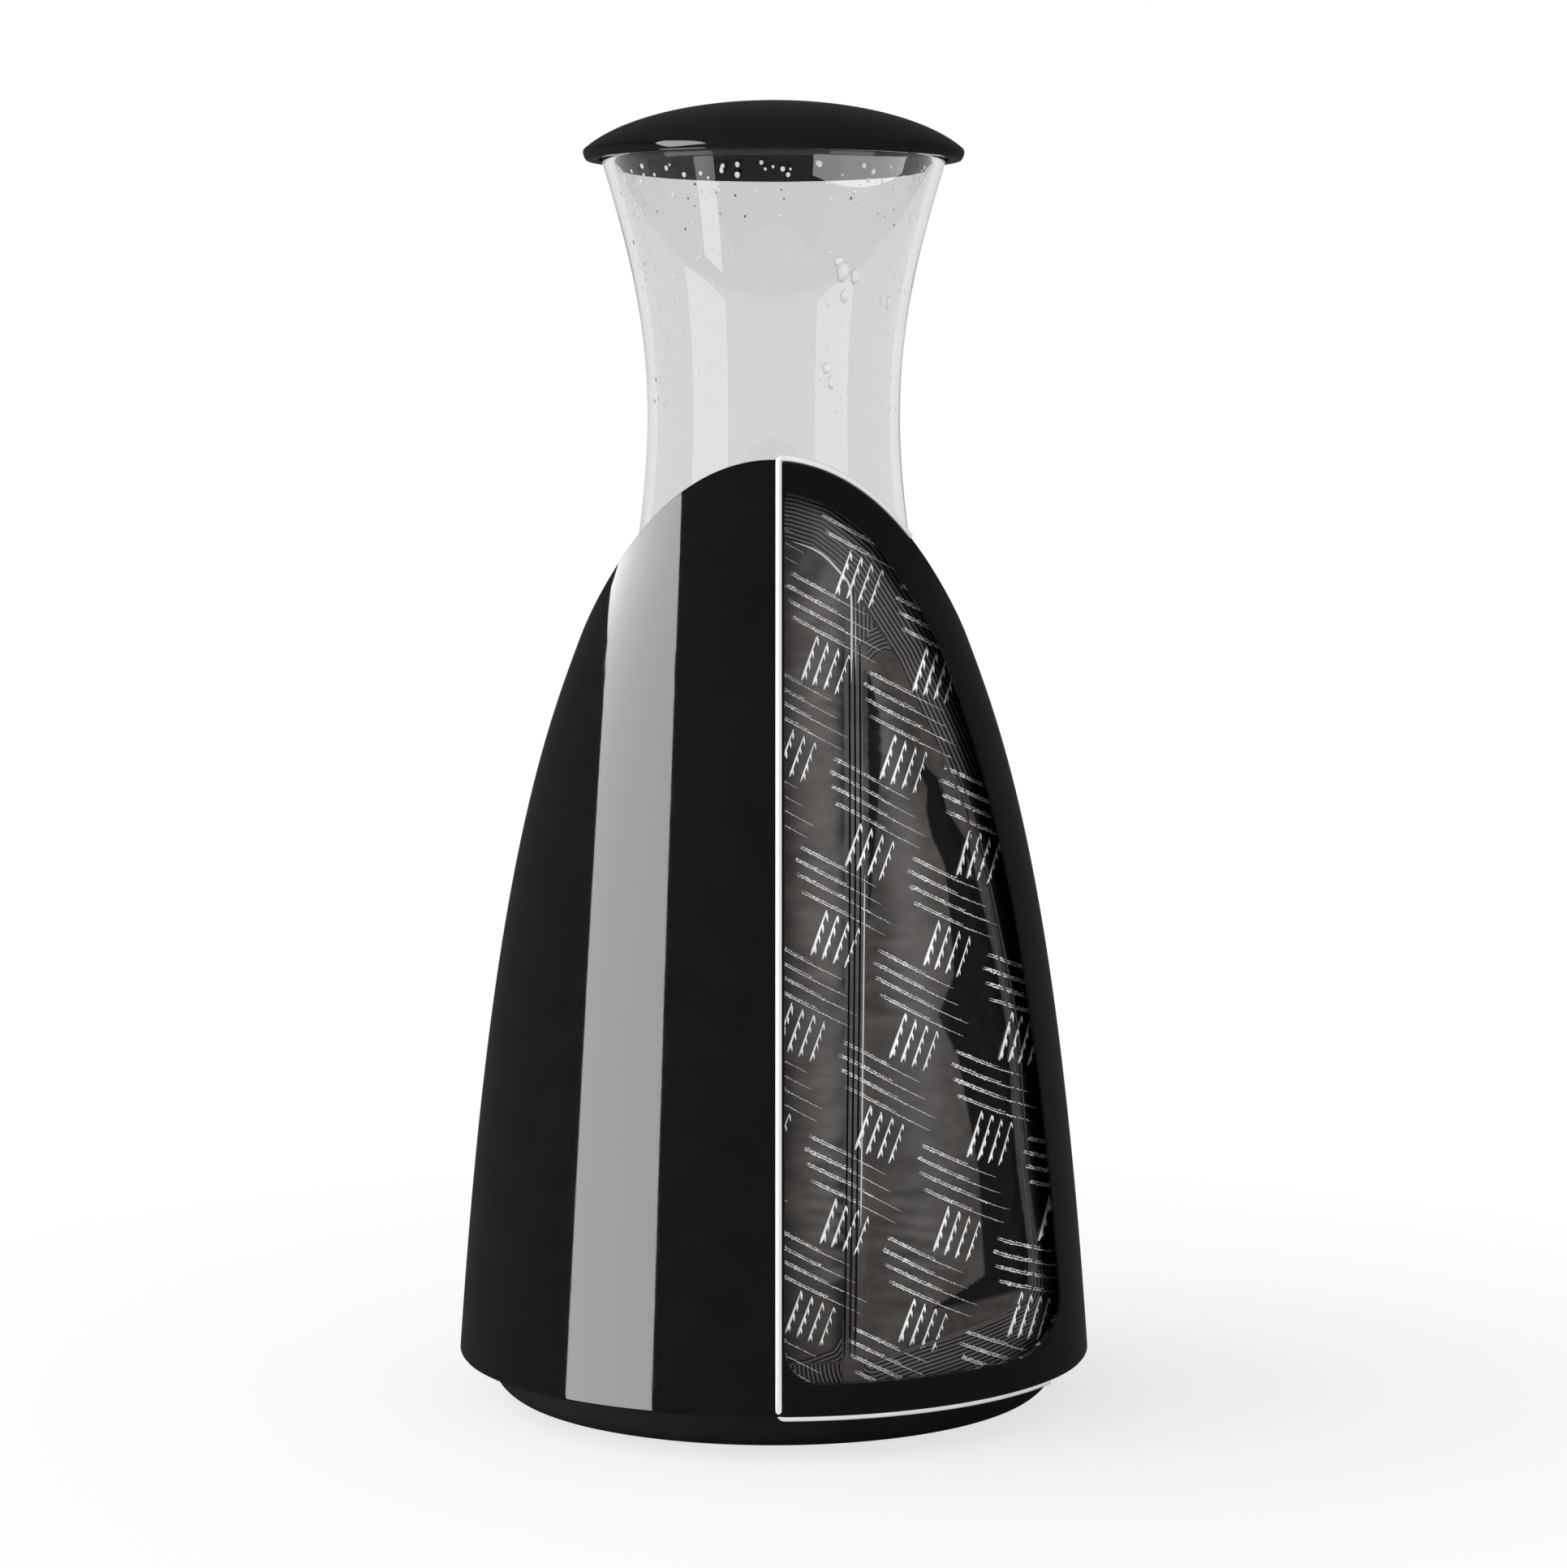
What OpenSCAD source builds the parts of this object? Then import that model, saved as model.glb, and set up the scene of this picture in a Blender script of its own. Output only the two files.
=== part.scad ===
// Cooling pitcher: a glass carafe that stands in a rubber-booted base, with gel
// ice packs round it under a gloss bell cover, and a domed lid with a sealed plug.
// The cover's front right quarter is cut open, so that the ice core shows.
// Millimetres. The table is z = 0, the axis is Z and the front is -Y.

/* [Base] */
// Step from the cover's rim in to the boot
boot_inset = 6; // [4:0.5:9]
// Inward slope of the boot from its top to its foot
foot_inset = 7.5; // [4:0.5:12]
// Height of the boot
boot_h = 10.2; // [9:0.1:13]
// Thickness of the boot's side wall
boot_wall = 2.4; // [1.6:0.1:3.5]
// Thickness of the boot's floor at its foot
boot_floor = 3.4; // [2.6:0.1:4.5]
// Depth of the recess inside the boot's foot
foot_recess = 1.4; // [0.8:0.1:2]
// Width of the boot's foot ring
foot_w = 15; // [8:0.5:24]
// Thickness of the base cup's floor
cup_floor = 4.1; // [3:0.1:5]
// Bevel under the cup's edge, matched inside the boot
cup_bevel = 2; // [1:0.1:3]
// Thickness of the base cup's flange
flange_t = 1.8; // [1.2:0.1:3]
// Height of the spigot that stands inside the cover
spigot_h = 2; // [1.5:0.1:3]
// Thickness of the spigot
spigot_t = 2.2; // [1.5:0.1:3]
// Room round the glass where the cup's trough begins
trough_room = 1.5; // [1:0.1:3]
// Thickness of the rest ring under the glass
rest_t = 1.5; // [1:0.1:3]
// Width of the rest ring
rest_w = 11; // [6:0.5:14]

/* [Carafe] */
// Height of the carafe
glass_h = 271.2; // [262:0.2:290]
// Widest radius, near the bottom
glass_r = 57.5; // [52:0.5:62]
// Radius of the neck at its narrowest
neck_r = 28.5; // [26:0.5:31]
// Height of the flare, from the neck's narrowest place to the lip
flare_h = 58.2; // [52:0.2:66]
// Radius of the lip
lip_r = 38.6; // [36:0.2:41]
// Thickness of the glass
glass_wall = 2.2; // [1.6:0.1:3]
// Thickness of the carafe's bottom
glass_bottom = 4.5; // [3.5:0.1:7]
// Inward run of the rounding between side and bottom
heel_run = 11.5; // [8:0.5:16]
// Height of the rounding between side and bottom
heel_h = 14; // [10:0.5:18]
// Width of the flat ring that the carafe stands on
stand_w = 3; // [2:0.1:5]
// Height of the push-up in the bottom
punt_h = 1.6; // [0.8:0.1:2.5]

/* [Ice core] */
// Room between glass and cover at the cover's rim
core_room = 12.1; // [10:0.1:15]
// Room between glass and cover at the cover's tip
tip_room = 4; // [3.5:0.1:6]
// Thickness of the packs along their welds
weld_t = 1.2; // [0.8:0.1:1.6]
// Distance of the packs' top edges below the cover's cut
pack_drop = 1.2; // [0.6:0.1:4]
// Outward swell of the chambers over the welds
crown = 2.5; // [1.5:0.1:3.5]
// Azimuth where the front pack ends
front_pack_end = 89; // [84:0.5:90]
// Half width of the front chamber
front_chamber_w = 16.4; // [12:0.2:20]
// Width of the welded seam beside the front chamber
seam_w = 4.2; // [3:0.2:6]
// Azimuth where a side chamber ends
side_chamber_end = 62; // [56:1:68]
// Height of the chambers' lower ends above the trough
chamber_low = 7; // [5:0.5:12]
// Distance of the front chamber's top below the cover's tip
front_chamber_drop = 18.5; // [14:0.5:26]
// Distance of the side chambers' tops below the cover's tip
side_chamber_drop = 42; // [38:1:52]
// Height over which a side chamber narrows to its top
side_taper = 95; // [70:1:110]
// Azimuth where the back pack starts
back_pack_start = 93; // [91:0.5:110]
// Width of the back pack's side welds, in degrees
back_margin = 8; // [5:1:12]
// Height of the back pack's chambers
back_chamber_h = 58; // [45:1:62]

/* [Cover] */
// Height of the tip above the cover's rim
cover_h = 202.6; // [196:0.2:208]
// Thickness of the cover
cover_wall = 2.4; // [1.8:0.1:3]
// Angle of the oblique cut, from level
cut_angle = 50; // [46:0.5:52]
// Fall of the rim below the base cup's flange
rim_drop = 0.5; // [0.2:0.1:1]
// Inward pull of the profile at the belly
belly_pull = 12.2; // [9:0.1:15]
// Height of the belly's handle above the rim
belly_h = 174; // [160:1:185]
// Length of the tip's straight run
tip_run = 52; // [42:1:58]
// Height of the ledge that sits on the spigot
ledge_t = 1.1; // [0.8:0.1:1.6]
// Inward reach of the ledge
ledge_w = 2; // [1.2:0.1:2.2]

/* [Section window] */
// Distance of the window's left side from the middle plane
window_left = 2; // [1:0.1:6]
// Border left between the window and the cover's outline, seen from the front
window_border = 6.6; // [5:0.1:10]
// Height of the window's sill above the rim
window_sill = 6; // [6:0.1:12]
// Radius of the window's lower right corner
window_corner = 11; // [6:0.5:16]
// Radius of the window's lower left corner
window_notch = 8; // [4:0.5:12]

/* [Lid] */
// Reach of the lid beyond the glass lip
lid_reach = 4.4; // [3.6:0.1:7]
// Height of the dome above the lid's widest place
dome_h = 11.1; // [10:0.1:14]
// Half height of the ellipse that the dome is cut from
dome_half = 17.9; // [16:0.1:22]
// Thickness of the dome
dome_wall = 2.2; // [1.6:0.1:2.6]
// Height of the rim below the widest place
rim_h = 2.1; // [1.8:0.1:3]
// Inward slope of the rim
rim_taper = 0.9; // [0.4:0.1:1.6]
// Overlap of the rim over the glass lip
rim_overlap = 1.2; // [0.8:0.1:1.5]
// Room round the lip inside the lid's seat
lip_room = 0.8; // [0.5:0.1:1.2]
// Room between the plug's foot and the glass
plug_room = 1.3; // [1:0.1:2]
// Depth of the plug below the lid's rim
plug_depth = 2.6; // [2.2:0.1:4]
// Height of the plug's wall above the lid's seat
plug_rise = 3; // [2:0.1:3.4]
// Thickness of the plug's foot
plug_foot = 0.9; // [0.7:0.1:1.4]
// Reach of the plug's foot beyond its wall
plug_step = 1; // [0.8:0.1:1.4]
// Thickness of the plug's wall and floor
plug_wall = 1.8; // [1.2:0.1:2.6]
// Height of the seal ring
seal_h = 2; // [1.4:0.1:2.2]
// Thickness of the seal ring's body
seal_t = 1.2; // [0.8:0.1:1.6]
// Height of the seal ring's lip at its edge
seal_lip = 0.4; // [0.3:0.1:0.6]

/* [Clearances] */
// Between parts that lift off each other
lift_gap = 0.3; // [0.2:0.05:0.6]
// Between the ice core and the glass
core_gap = 0.3; // [0.2:0.05:0.6]
// Between the ice core and the cover
cover_gap = 1; // [0.8:0.1:1.6]
// Between parts that are pushed together
push_gap = 0.1; // [0.05:0.05:0.3]

/* [Hidden] */
$fn = 96;
curve_steps = 20;
arc_steps = 8;
far = 2 * glass_h;

// Handles of the carafe's curves
heel_pull = 3;
body_pull = 4.5;
body_lift = 100;
shoulder_run = 47;
flare_rise = 23;
flare_pull = 5;
flare_run = 16.6;
inner_round = 4;
punt_slope = 7;

// Handles and bevels of the boot and the cup
toe_reach = 4.5;
toe_rise = 0.4;
boot_bulge = 0.6;
foot_bevel = 1;
trough_slope = 2;
rest_reach = 3.5;

// Bevels of the lid's plug and roof
plug_bevel = 0.5;
roof_land = 3;
dome_steps = 24;

// Heights of the stack, from the table up
cup_z = boot_floor;
floor_z = cup_z + cup_floor;
glass_z = floor_z + rest_t;
flange_z = boot_h;
trough_z = flange_z + flange_t;
spigot_top = trough_z + spigot_h;
ledge_z = spigot_top + lift_gap;
rim_z = flange_z - rim_drop;
tip_z = rim_z + cover_h;
lip_z = glass_z + glass_h;
neck_z = lip_z - flare_h;
lid_under_z = lip_z - rim_overlap;
lid_wide_z = lid_under_z + rim_h;
lid_seat_z = lip_z + lift_gap;
plug_z = lid_under_z - plug_depth;
plug_top_z = lid_seat_z + plug_rise;

// Curves
function bezier(p, u) =
    pow(1 - u, 3) * p[0] + 3 * pow(1 - u, 2) * u * p[1]
    + 3 * (1 - u) * u * u * p[2] + pow(u, 3) * p[3];
function bezier_points(p, n) = [for (i = [0:n]) bezier(p, i / n)];
function arc(c, r, a0, a1) =
    [for (i = [0:arc_steps]) let (a = a0 + (a1 - a0) * i / arc_steps) c + r * [cos(a), sin(a)]];
function unit(v) = v / norm(v);
function left_normal(p, i) =
    let (d = unit(p[min(i + 1, len(p) - 1)] - p[max(i - 1, 0)])) [-d[1], d[0]];
function shifted(p, d) = [for (i = [0:len(p) - 1]) p[i] + d * left_normal(p, i)];
function reversed(p) = [for (i = [len(p) - 1:-1:0]) p[i]];
function without_first(p) = [for (i = [1:len(p) - 1]) p[i]];
function radius_table(p) = [for (q = p) [q[1], q[0]]];

// Carafe: heel, body and neck from the bottom up
stand_r = glass_r - heel_run;
heel_z = glass_z + heel_h;
lip_tilt = flare_pull / norm([flare_pull, flare_run]);
lip_end_z = lip_z - (1 + lip_tilt) * glass_wall / 2;
heel_curve = bezier_points([[stand_r, glass_z], [glass_r - heel_pull, glass_z],
                            [glass_r, glass_z + heel_h / 2], [glass_r, heel_z]], arc_steps);
body_curve = bezier_points([[glass_r, heel_z], [glass_r - body_pull, glass_z + body_lift],
                            [neck_r, neck_z - shoulder_run], [neck_r, neck_z]], curve_steps);
neck_curve = bezier_points([[neck_r, neck_z], [neck_r, neck_z + flare_rise],
                            [lip_r - flare_pull, lip_end_z - flare_run],
                            [lip_r, lip_end_z]], curve_steps);
glass_curve = concat(heel_curve, without_first(body_curve), without_first(neck_curve));
glass_table = radius_table(glass_curve);
glass_inner_table = radius_table(shifted(glass_curve, glass_wall));
function glass_at(z) = lookup(z, glass_table);
function glass_inner_at(z) = lookup(z, glass_inner_table);

// Cover: a bell profile from its rim to just above its tip
tip_over = 2;
cover_top_z = tip_z + tip_over;
cover_r = glass_r + core_room + cover_wall;
tip_r = glass_at(tip_z) + tip_room + cover_wall;
cover_curve = bezier_points([[cover_r, rim_z], [cover_r - belly_pull, rim_z + belly_h],
                             [tip_r, cover_top_z - tip_run], [tip_r, cover_top_z]], curve_steps);
cover_table = radius_table(cover_curve);
function cover_at(z) = lookup(z, cover_table);
function cover_inner_at(z) = cover_at(z) - cover_wall;
cut_slope = tan(cut_angle);
ledge_r = cover_inner_at(ledge_z) - ledge_w;

// Radii of the base
boot_top_r = cover_r - boot_inset;
foot_r = boot_top_r - foot_inset;
cup_r = boot_top_r - boot_wall;
spigot_r = cover_inner_at(spigot_top) - lift_gap;
trough_r = glass_r + trough_room;

// Radii of the lid
lid_r = lip_r + lid_reach;
dome_r = lid_r / sqrt(1 - pow(1 - dome_h / dome_half, 2));
plug_r = glass_inner_at(plug_z) - plug_room;
plug_body_r = plug_r - plug_step;
seal_r = glass_inner_at(plug_z + plug_foot) - lift_gap;

// Soft matte boot: a shallow bowl with a flat foot ring
module base_boot() {
    ring_r = foot_r - foot_w;
    side = bezier_points([[foot_r, 0], [foot_r + toe_reach, toe_rise],
                          [boot_top_r - boot_bulge, boot_h / 2], [boot_top_r, boot_h]], arc_steps);
    color([0.07, 0.07, 0.075])
        rotate_extrude()
            polygon(concat([[0, foot_recess], [ring_r - foot_bevel, foot_recess], [ring_r, 0]], side,
                           [[cup_r, boot_h], [cup_r, cup_z + cup_bevel], [cup_r - cup_bevel, cup_z], [0, cup_z]]));
}

// Rigid base: floor, flange, trough and the spigot that centres the cover
module base_cup() {
    wall_r = cup_r - push_gap;
    color([0.1, 0.1, 0.105])
        rotate_extrude()
            polygon([[0, cup_z], [wall_r - cup_bevel, cup_z], [wall_r, cup_z + cup_bevel], [wall_r, flange_z],
                     [spigot_r, flange_z], [spigot_r, spigot_top], [spigot_r - spigot_t, spigot_top],
                     [spigot_r - spigot_t, trough_z], [trough_r, trough_z],
                     [trough_r - trough_slope, floor_z], [0, floor_z]]);
}

// Soft ring that the carafe stands on
module glass_rest() {
    color([0.55, 0.55, 0.56])
        rotate_extrude()
            translate([stand_r + rest_reach - rest_w, floor_z])
                square([rest_w, rest_t]);
}

// Blown carafe: flared lip, narrow neck and wide body, with a pushed-up bottom
module carafe() {
    inner_r = glass_r - glass_wall;
    inner_z = glass_z + glass_bottom;
    inside = [for (p = shifted(without_first(glass_curve), glass_wall)) if (p[1] > heel_z + glass_wall) p];
    inner_heel = bezier_points([[inner_r, heel_z], [inner_r, inner_z + inner_round],
                                [inner_r - inner_round, inner_z], [stand_r - inner_round, inner_z]], arc_steps);
    lip_centre = (neck_curve[curve_steps] + inside[len(inside) - 1]) / 2;
    punt = [[0, glass_z + punt_h], [stand_r - stand_w - punt_slope, glass_z + punt_h], [stand_r - stand_w, glass_z]];
    color([0.82, 0.84, 0.85, 0.5])
        rotate_extrude()
            polygon(concat(punt, glass_curve, arc(lip_centre, glass_wall / 2, 30, 150), reversed(inside),
                           inner_heel, [[0, inner_z]]));
}

// Ice core: gel packs that fill the room between the glass and the cover. They stand
// inside the spigot and clear of the cover's ledge when it is lifted, and lie closer
// to the cover towards the sides.
pack_z = trough_z + lift_gap;
chamber_z = trough_z + chamber_low;
side_power = 2.6;
end_power = 7;
crown_share = 0.4;
hug_power = 8;
pack_limit_r = min(ledge_r, spigot_r - spigot_t) - lift_gap;
function pack_inner_at(z) = glass_at(z) + core_gap;
function pack_outer_at(z) = min(cover_inner_at(z) - cover_gap, pack_limit_r);
function pack_room(z) = pack_outer_at(z) - pack_inner_at(z) - weld_t;
function bump(x, power) = max(0, 1 - pow(abs(x), power));
function outer_swell(t, z) = min(crown, crown_share * pack_room(z)) * bump(sin(t), hug_power);
function inner_swell(t, z) = pack_room(z) - outer_swell(t, z);
function polar(r, t, z) = [r * sin(t), -r * cos(t), z];

// How full a pack is at an azimuth and a height, from 0 on a weld to 1 on a crown.
// A chamber is given by its two side azimuths, as functions of height, and its two ends.
function fullness(chambers, t, z) =
    max([for (c = chambers)
        let (a = c[0](z), b = c[1](z), s = (2 * t - a - b) / (b - a), v = (2 * z - c[2] - c[3]) / (c[3] - c[2]))
        bump(s, side_power) * bump(v, end_power)]);

// Azimuth of a column, given as a stretch between two breaks and its share of it
function azimuth(breaks, column, z) =
    let (b = breaks(z), k = column[0]) b[k] + column[1] * (b[k + 1] - b[k]);

// Height where a column meets the oblique top edge, closing in by half each time
function column_top(breaks, column, z, tries = 24) =
    tries == 0 ? z :
    let (y = pack_outer_at(z) * cos(azimuth(breaks, column, z)),
         edge_z = tip_z - pack_drop - cut_slope * (tip_r - y))
    column_top(breaks, column, (z + edge_z) / 2, tries - 1);

// A crowned pouch: an outer and an inner film that meet in flat welds
module gel_pack(breaks, cells, rows, chambers) {
    columns = concat([for (k = [0:len(cells) - 1], i = [0:cells[k] - 1]) [k, i / cells[k]]],
                     [[len(cells) - 1, 1]]);
    tops = [for (c = columns) column_top(breaks, c, neck_z / 2)];
    nu = len(columns) - 1;
    places = [for (j = [0:rows], i = [0:nu])
        let (z = pack_z + (tops[i] - pack_z) * j / rows) [azimuth(breaks, columns[i], z), z]];
    n = len(places);
    inside = [for (q = places)
        let (slack = 1 - fullness(chambers, q[0], q[1]))
        polar(pack_inner_at(q[1]) + inner_swell(q[0], q[1]) * slack, q[0], q[1])];
    outside = [for (q = places)
        let (slack = 1 - fullness(chambers, q[0], q[1]))
        polar(pack_outer_at(q[1]) - outer_swell(q[0], q[1]) * slack, q[0], q[1])];
    function at(i, j) = j * (nu + 1) + i;
    film = [for (j = [0:rows - 1], i = [0:nu - 1])
        each [[at(i, j), at(i + 1, j + 1), at(i + 1, j)], [at(i, j), at(i, j + 1), at(i + 1, j + 1)]]];
    rim = concat([for (i = [0:nu - 1]) at(i, 0)], [for (j = [0:rows - 1]) at(nu, j)],
                 [for (i = [nu:-1:1]) at(i, rows)], [for (j = [rows:-1:1]) at(0, j)]);
    edge = [for (k = [0:len(rim) - 1])
        let (a = rim[k], b = rim[(k + 1) % len(rim)]) each [[a, a + n, b], [b, a + n, b + n]]];
    inner_film = [for (f = film) [f[0], f[2], f[1]]];
    outer_film = [for (f = film) [f[0] + n, f[1] + n, f[2] + n]];
    polyhedron(concat(inside, outside), concat(inner_film, outer_film, edge));
}

// Front pack: a middle chamber between straight seams, and a side chamber on each side
// that narrows towards its top
front_top_z = tip_z - front_chamber_drop;
side_top_z = tip_z - side_chamber_drop;
side_least = 6;
function at_width(w, z) = asin(min(1, w / pack_outer_at(z)));
function front_end(z) = at_width(front_chamber_w, z);
function side_start(z) = at_width(front_chamber_w + seam_w, z);
function side_end(z) =
    let (f = min(1, max(0, 1 - (side_top_z - z) / side_taper)),
         top_end = side_start(side_top_z) + side_least)
    max(side_start(z) + side_least, side_chamber_end + f * f * (top_end - side_chamber_end));

module ice_core_front() {
    breaks = function (z) [-front_pack_end, -side_end(z), -side_start(z), -front_end(z),
                           front_end(z), side_start(z), side_end(z), front_pack_end];
    left = [function (z) -side_end(z), function (z) -side_start(z), chamber_z, side_top_z];
    middle = [function (z) -front_end(z), function (z) front_end(z), chamber_z, front_top_z];
    right = [function (z) side_start(z), function (z) side_end(z), chamber_z, side_top_z];
    color([0.34, 0.33, 0.33])
        gel_pack(breaks, [3, 6, 2, 8, 2, 6, 3], 19, [left, middle, right]);
}

// Back pack: two chambers with a seam between them
module ice_core_back() {
    first = back_pack_start + back_margin;
    seam = back_margin / 2;
    top_z = chamber_z + back_chamber_h;
    breaks = function (z) [back_pack_start, first, 180 - seam, 180 + seam, 360 - first, 360 - back_pack_start];
    right = [function (z) first, function (z) 180 - seam, chamber_z, top_z];
    left = [function (z) 180 + seam, function (z) 360 - first, chamber_z, top_z];
    color([0.34, 0.33, 0.33])
        gel_pack(breaks, [1, 8, 1, 8, 1], 12, [right, left]);
}

// Keeps what lies under the oblique cut, which meets the front at the tip
module under_cut() {
    intersection() {
        children();
        translate([0, -tip_r, tip_z])
            rotate([-cut_angle, 0, 0])
                translate([-far, -far, -2 * far])
                    cube([2 * far, 4 * far, 2 * far]);
    }
}

// Half width of the cover seen from the front, with the arch of its cut edge
function front_half_width(z) =
    let (y = max(0, tip_r - (tip_z - z) / cut_slope)) sqrt(max(0, pow(cover_at(z), 2) - y * y));

// Outline of the cut-open quarter, seen from the front: it follows the cover's outline
window_least = 1;
module window_outline() {
    sill_z = rim_z + window_sill;
    outline = [for (i = [0:2 * curve_steps])
        let (z = sill_z + (tip_z - sill_z) * sin(90 * i / (2 * curve_steps))) [front_half_width(z), z]];
    border = [for (p = shifted(outline, window_border))
        if (p[0] > window_left + window_least && p[1] > sill_z + window_corner) p];
    corner = [border[0][0] - window_corner, sill_z + window_corner];
    polygon(concat(arc([window_left + window_notch, sill_z + window_notch], window_notch, 180, 270),
                   arc(corner, window_corner, 270, 360), border, [[window_left, tip_z - window_border]]));
}

// Bell cover with the ledge it sits on and the cut-open quarter, trimmed by the oblique cut
module cover() {
    inside = [for (p = cover_curve) [p[0] - cover_wall, p[1]]];
    color([0.05, 0.05, 0.055])
        difference() {
            under_cut()
                rotate_extrude()
                    union() {
                        polygon(concat(cover_curve, reversed(inside)));
                        translate([ledge_r, ledge_z])
                            square([ledge_w + cover_wall / 2, ledge_t]);
                    }
            rotate([90, 0, 0])
                linear_extrude(far)
                    window_outline();
        }
}

// Domed lid cap with the seat that goes over the glass lip
function dome_at(r, inset) =
    lid_wide_z + dome_h - dome_half + (dome_half - inset) * sqrt(max(0, 1 - pow(r / (dome_r - inset), 2)));

module lid_cap() {
    seat_r = lip_r + lip_room;
    hollow_r = plug_body_r + push_gap;
    roof_r = hollow_r - roof_land;
    outer = [for (i = [0:dome_steps]) let (r = lid_r * sin(90 * i / dome_steps)) [r, dome_at(r, 0)]];
    roof = [for (i = [0:dome_steps / 2]) let (r = roof_r * i * 2 / dome_steps) [r, dome_at(r, dome_wall)]];
    color([0.05, 0.05, 0.055])
        rotate_extrude()
            polygon(concat(outer, [[lid_r - rim_taper, lid_under_z], [seat_r, lid_under_z], [seat_r, lid_seat_z],
                                   [hollow_r, lid_seat_z], [hollow_r, plug_top_z + push_gap],
                                   [roof_r, plug_top_z + push_gap]], reversed(roof)));
}

// Plug: a shallow cup pushed up into the cap, with a foot that carries the seal
module lid_plug() {
    hollow_r = plug_body_r - plug_wall;
    color([0.14, 0.1, 0.12])
        rotate_extrude()
            polygon([[0, plug_z], [plug_r - plug_bevel, plug_z], [plug_r, plug_z + plug_foot / 2],
                     [plug_r, plug_z + plug_foot], [plug_body_r, plug_z + plug_foot], [plug_body_r, plug_top_z],
                     [hollow_r, plug_top_z], [hollow_r, plug_z + plug_wall], [0, plug_z + plug_wall]]);
}

// Soft seal ring with one sealing lip
module lid_seal() {
    inner_r = plug_body_r + push_gap;
    low_z = plug_z + plug_foot + push_gap;
    lip_low_z = low_z + (seal_h - seal_lip) / 2;
    color([0.16, 0.12, 0.14])
        rotate_extrude()
            polygon([[inner_r, low_z], [inner_r + seal_t, low_z], [seal_r, lip_low_z],
                     [seal_r, lip_low_z + seal_lip], [inner_r + seal_t, low_z + seal_h],
                     [inner_r, low_z + seal_h]]);
}

base_boot();
base_cup();
glass_rest();
carafe();
ice_core_front();
ice_core_back();
cover();
lid_cap();
lid_plug();
lid_seal();
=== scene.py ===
# Looks of the cooling pitcher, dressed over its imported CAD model.
# Lengths are millimetres until a mesh is made, but soft boxes are placed in metres.
# The front is -Y and the axis is Z.
import math
import random

import bmesh
import bpy
import numpy as np
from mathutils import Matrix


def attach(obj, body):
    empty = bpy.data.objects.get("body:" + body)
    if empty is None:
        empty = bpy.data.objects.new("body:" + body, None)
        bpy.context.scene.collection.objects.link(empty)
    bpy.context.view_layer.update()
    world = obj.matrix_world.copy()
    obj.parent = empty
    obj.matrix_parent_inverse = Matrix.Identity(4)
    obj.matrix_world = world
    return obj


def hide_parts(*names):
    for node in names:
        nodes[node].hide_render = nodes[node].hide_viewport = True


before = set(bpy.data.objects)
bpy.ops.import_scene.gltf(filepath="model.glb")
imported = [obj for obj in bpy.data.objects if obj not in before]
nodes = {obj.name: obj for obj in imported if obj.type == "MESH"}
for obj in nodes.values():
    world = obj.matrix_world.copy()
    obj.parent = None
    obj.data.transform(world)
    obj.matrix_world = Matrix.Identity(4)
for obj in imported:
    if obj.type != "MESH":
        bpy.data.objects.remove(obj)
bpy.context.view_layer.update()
MM = 0.001
WHITE = (1, 1, 1, 1)

# Sizes shared with the part's source
GLASS_WALL = 2.2
RIM_Z, TIP_Z, TIP_OVER = 9.7, 212.3, 2.0
COVER_R, COVER_WALL, TIP_R = 72.0, 2.4, 35.25
CUT = math.radians(50)
LEDGE_R, LEDGE_Z, LEDGE_T = 67.24, 14.3, 1.1
WINDOW_LEFT, WINDOW_BORDER, WINDOW_SILL = 2.0, 6.6, 6.0
WINDOW_CORNER, WINDOW_NOTCH = 11.0, 8.0
PACK_Z, PACK_DROP, PACK_LIMIT = 12.3, 1.2, 66.47
CORE_GAP, COVER_GAP, WELD, CROWN = 0.3, 1.0, 1.2, 2.5
CHAMBER_Z, FRONT_TOP, SIDE_TOP = 19.0, 193.8, 170.3
CHAMBER_W, SEAM_W = 16.4, 4.2
LID_R, LID_WIDE_Z, LID_UNDER_Z, LID_SEAT_Z = 43.0, 281.1, 279.0, 280.5
DOME_R, DOME_H, DOME_HALF = 46.48, 11.1, 17.9


# Curves and profiles

def bezier(p0, p1, p2, p3, n):
    u = np.linspace(0, 1, n + 1)[:, None]
    a, b, c, d = (np.array(p, float) for p in (p0, p1, p2, p3))
    return (1 - u) ** 3 * a + 3 * (1 - u) ** 2 * u * b + 3 * (1 - u) * u * u * c + u ** 3 * d


def arc(centre, radius, start, end, n=10):
    a = np.radians(np.linspace(start, end, n + 1))
    return np.array(centre) + radius * np.stack([np.cos(a), np.sin(a)], 1)


def left_normals(path):
    step = np.gradient(path, axis=0)
    step /= np.linalg.norm(step, axis=1)[:, None]
    return np.stack([-step[:, 1], step[:, 0]], 1)


def smooth(x):
    x = np.clip(x, 0, 1)
    return x * x * (3 - 2 * x)


heel = bezier((46, 9), (54.5, 9), (57.5, 16), (57.5, 23), 16)
body = bezier((57.5, 23), (53, 109), (28.5, 175), (28.5, 222), 80)
neck = bezier((28.5, 222), (28.5, 245), (33.6, 262.18), (38.6, 278.78), 48)
glass_curve = np.concatenate([heel, body[1:], neck[1:]])
cover_top_z = TIP_Z + TIP_OVER
cover_curve = bezier((COVER_R, RIM_Z), (59.8, 183.7), (TIP_R, cover_top_z - 52), (TIP_R, cover_top_z), 160)


def glass_at(z):
    return np.interp(z, glass_curve[:, 1], glass_curve[:, 0])


def cover_at(z):
    return np.interp(z, cover_curve[:, 1], cover_curve[:, 0])


# Meshes

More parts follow.
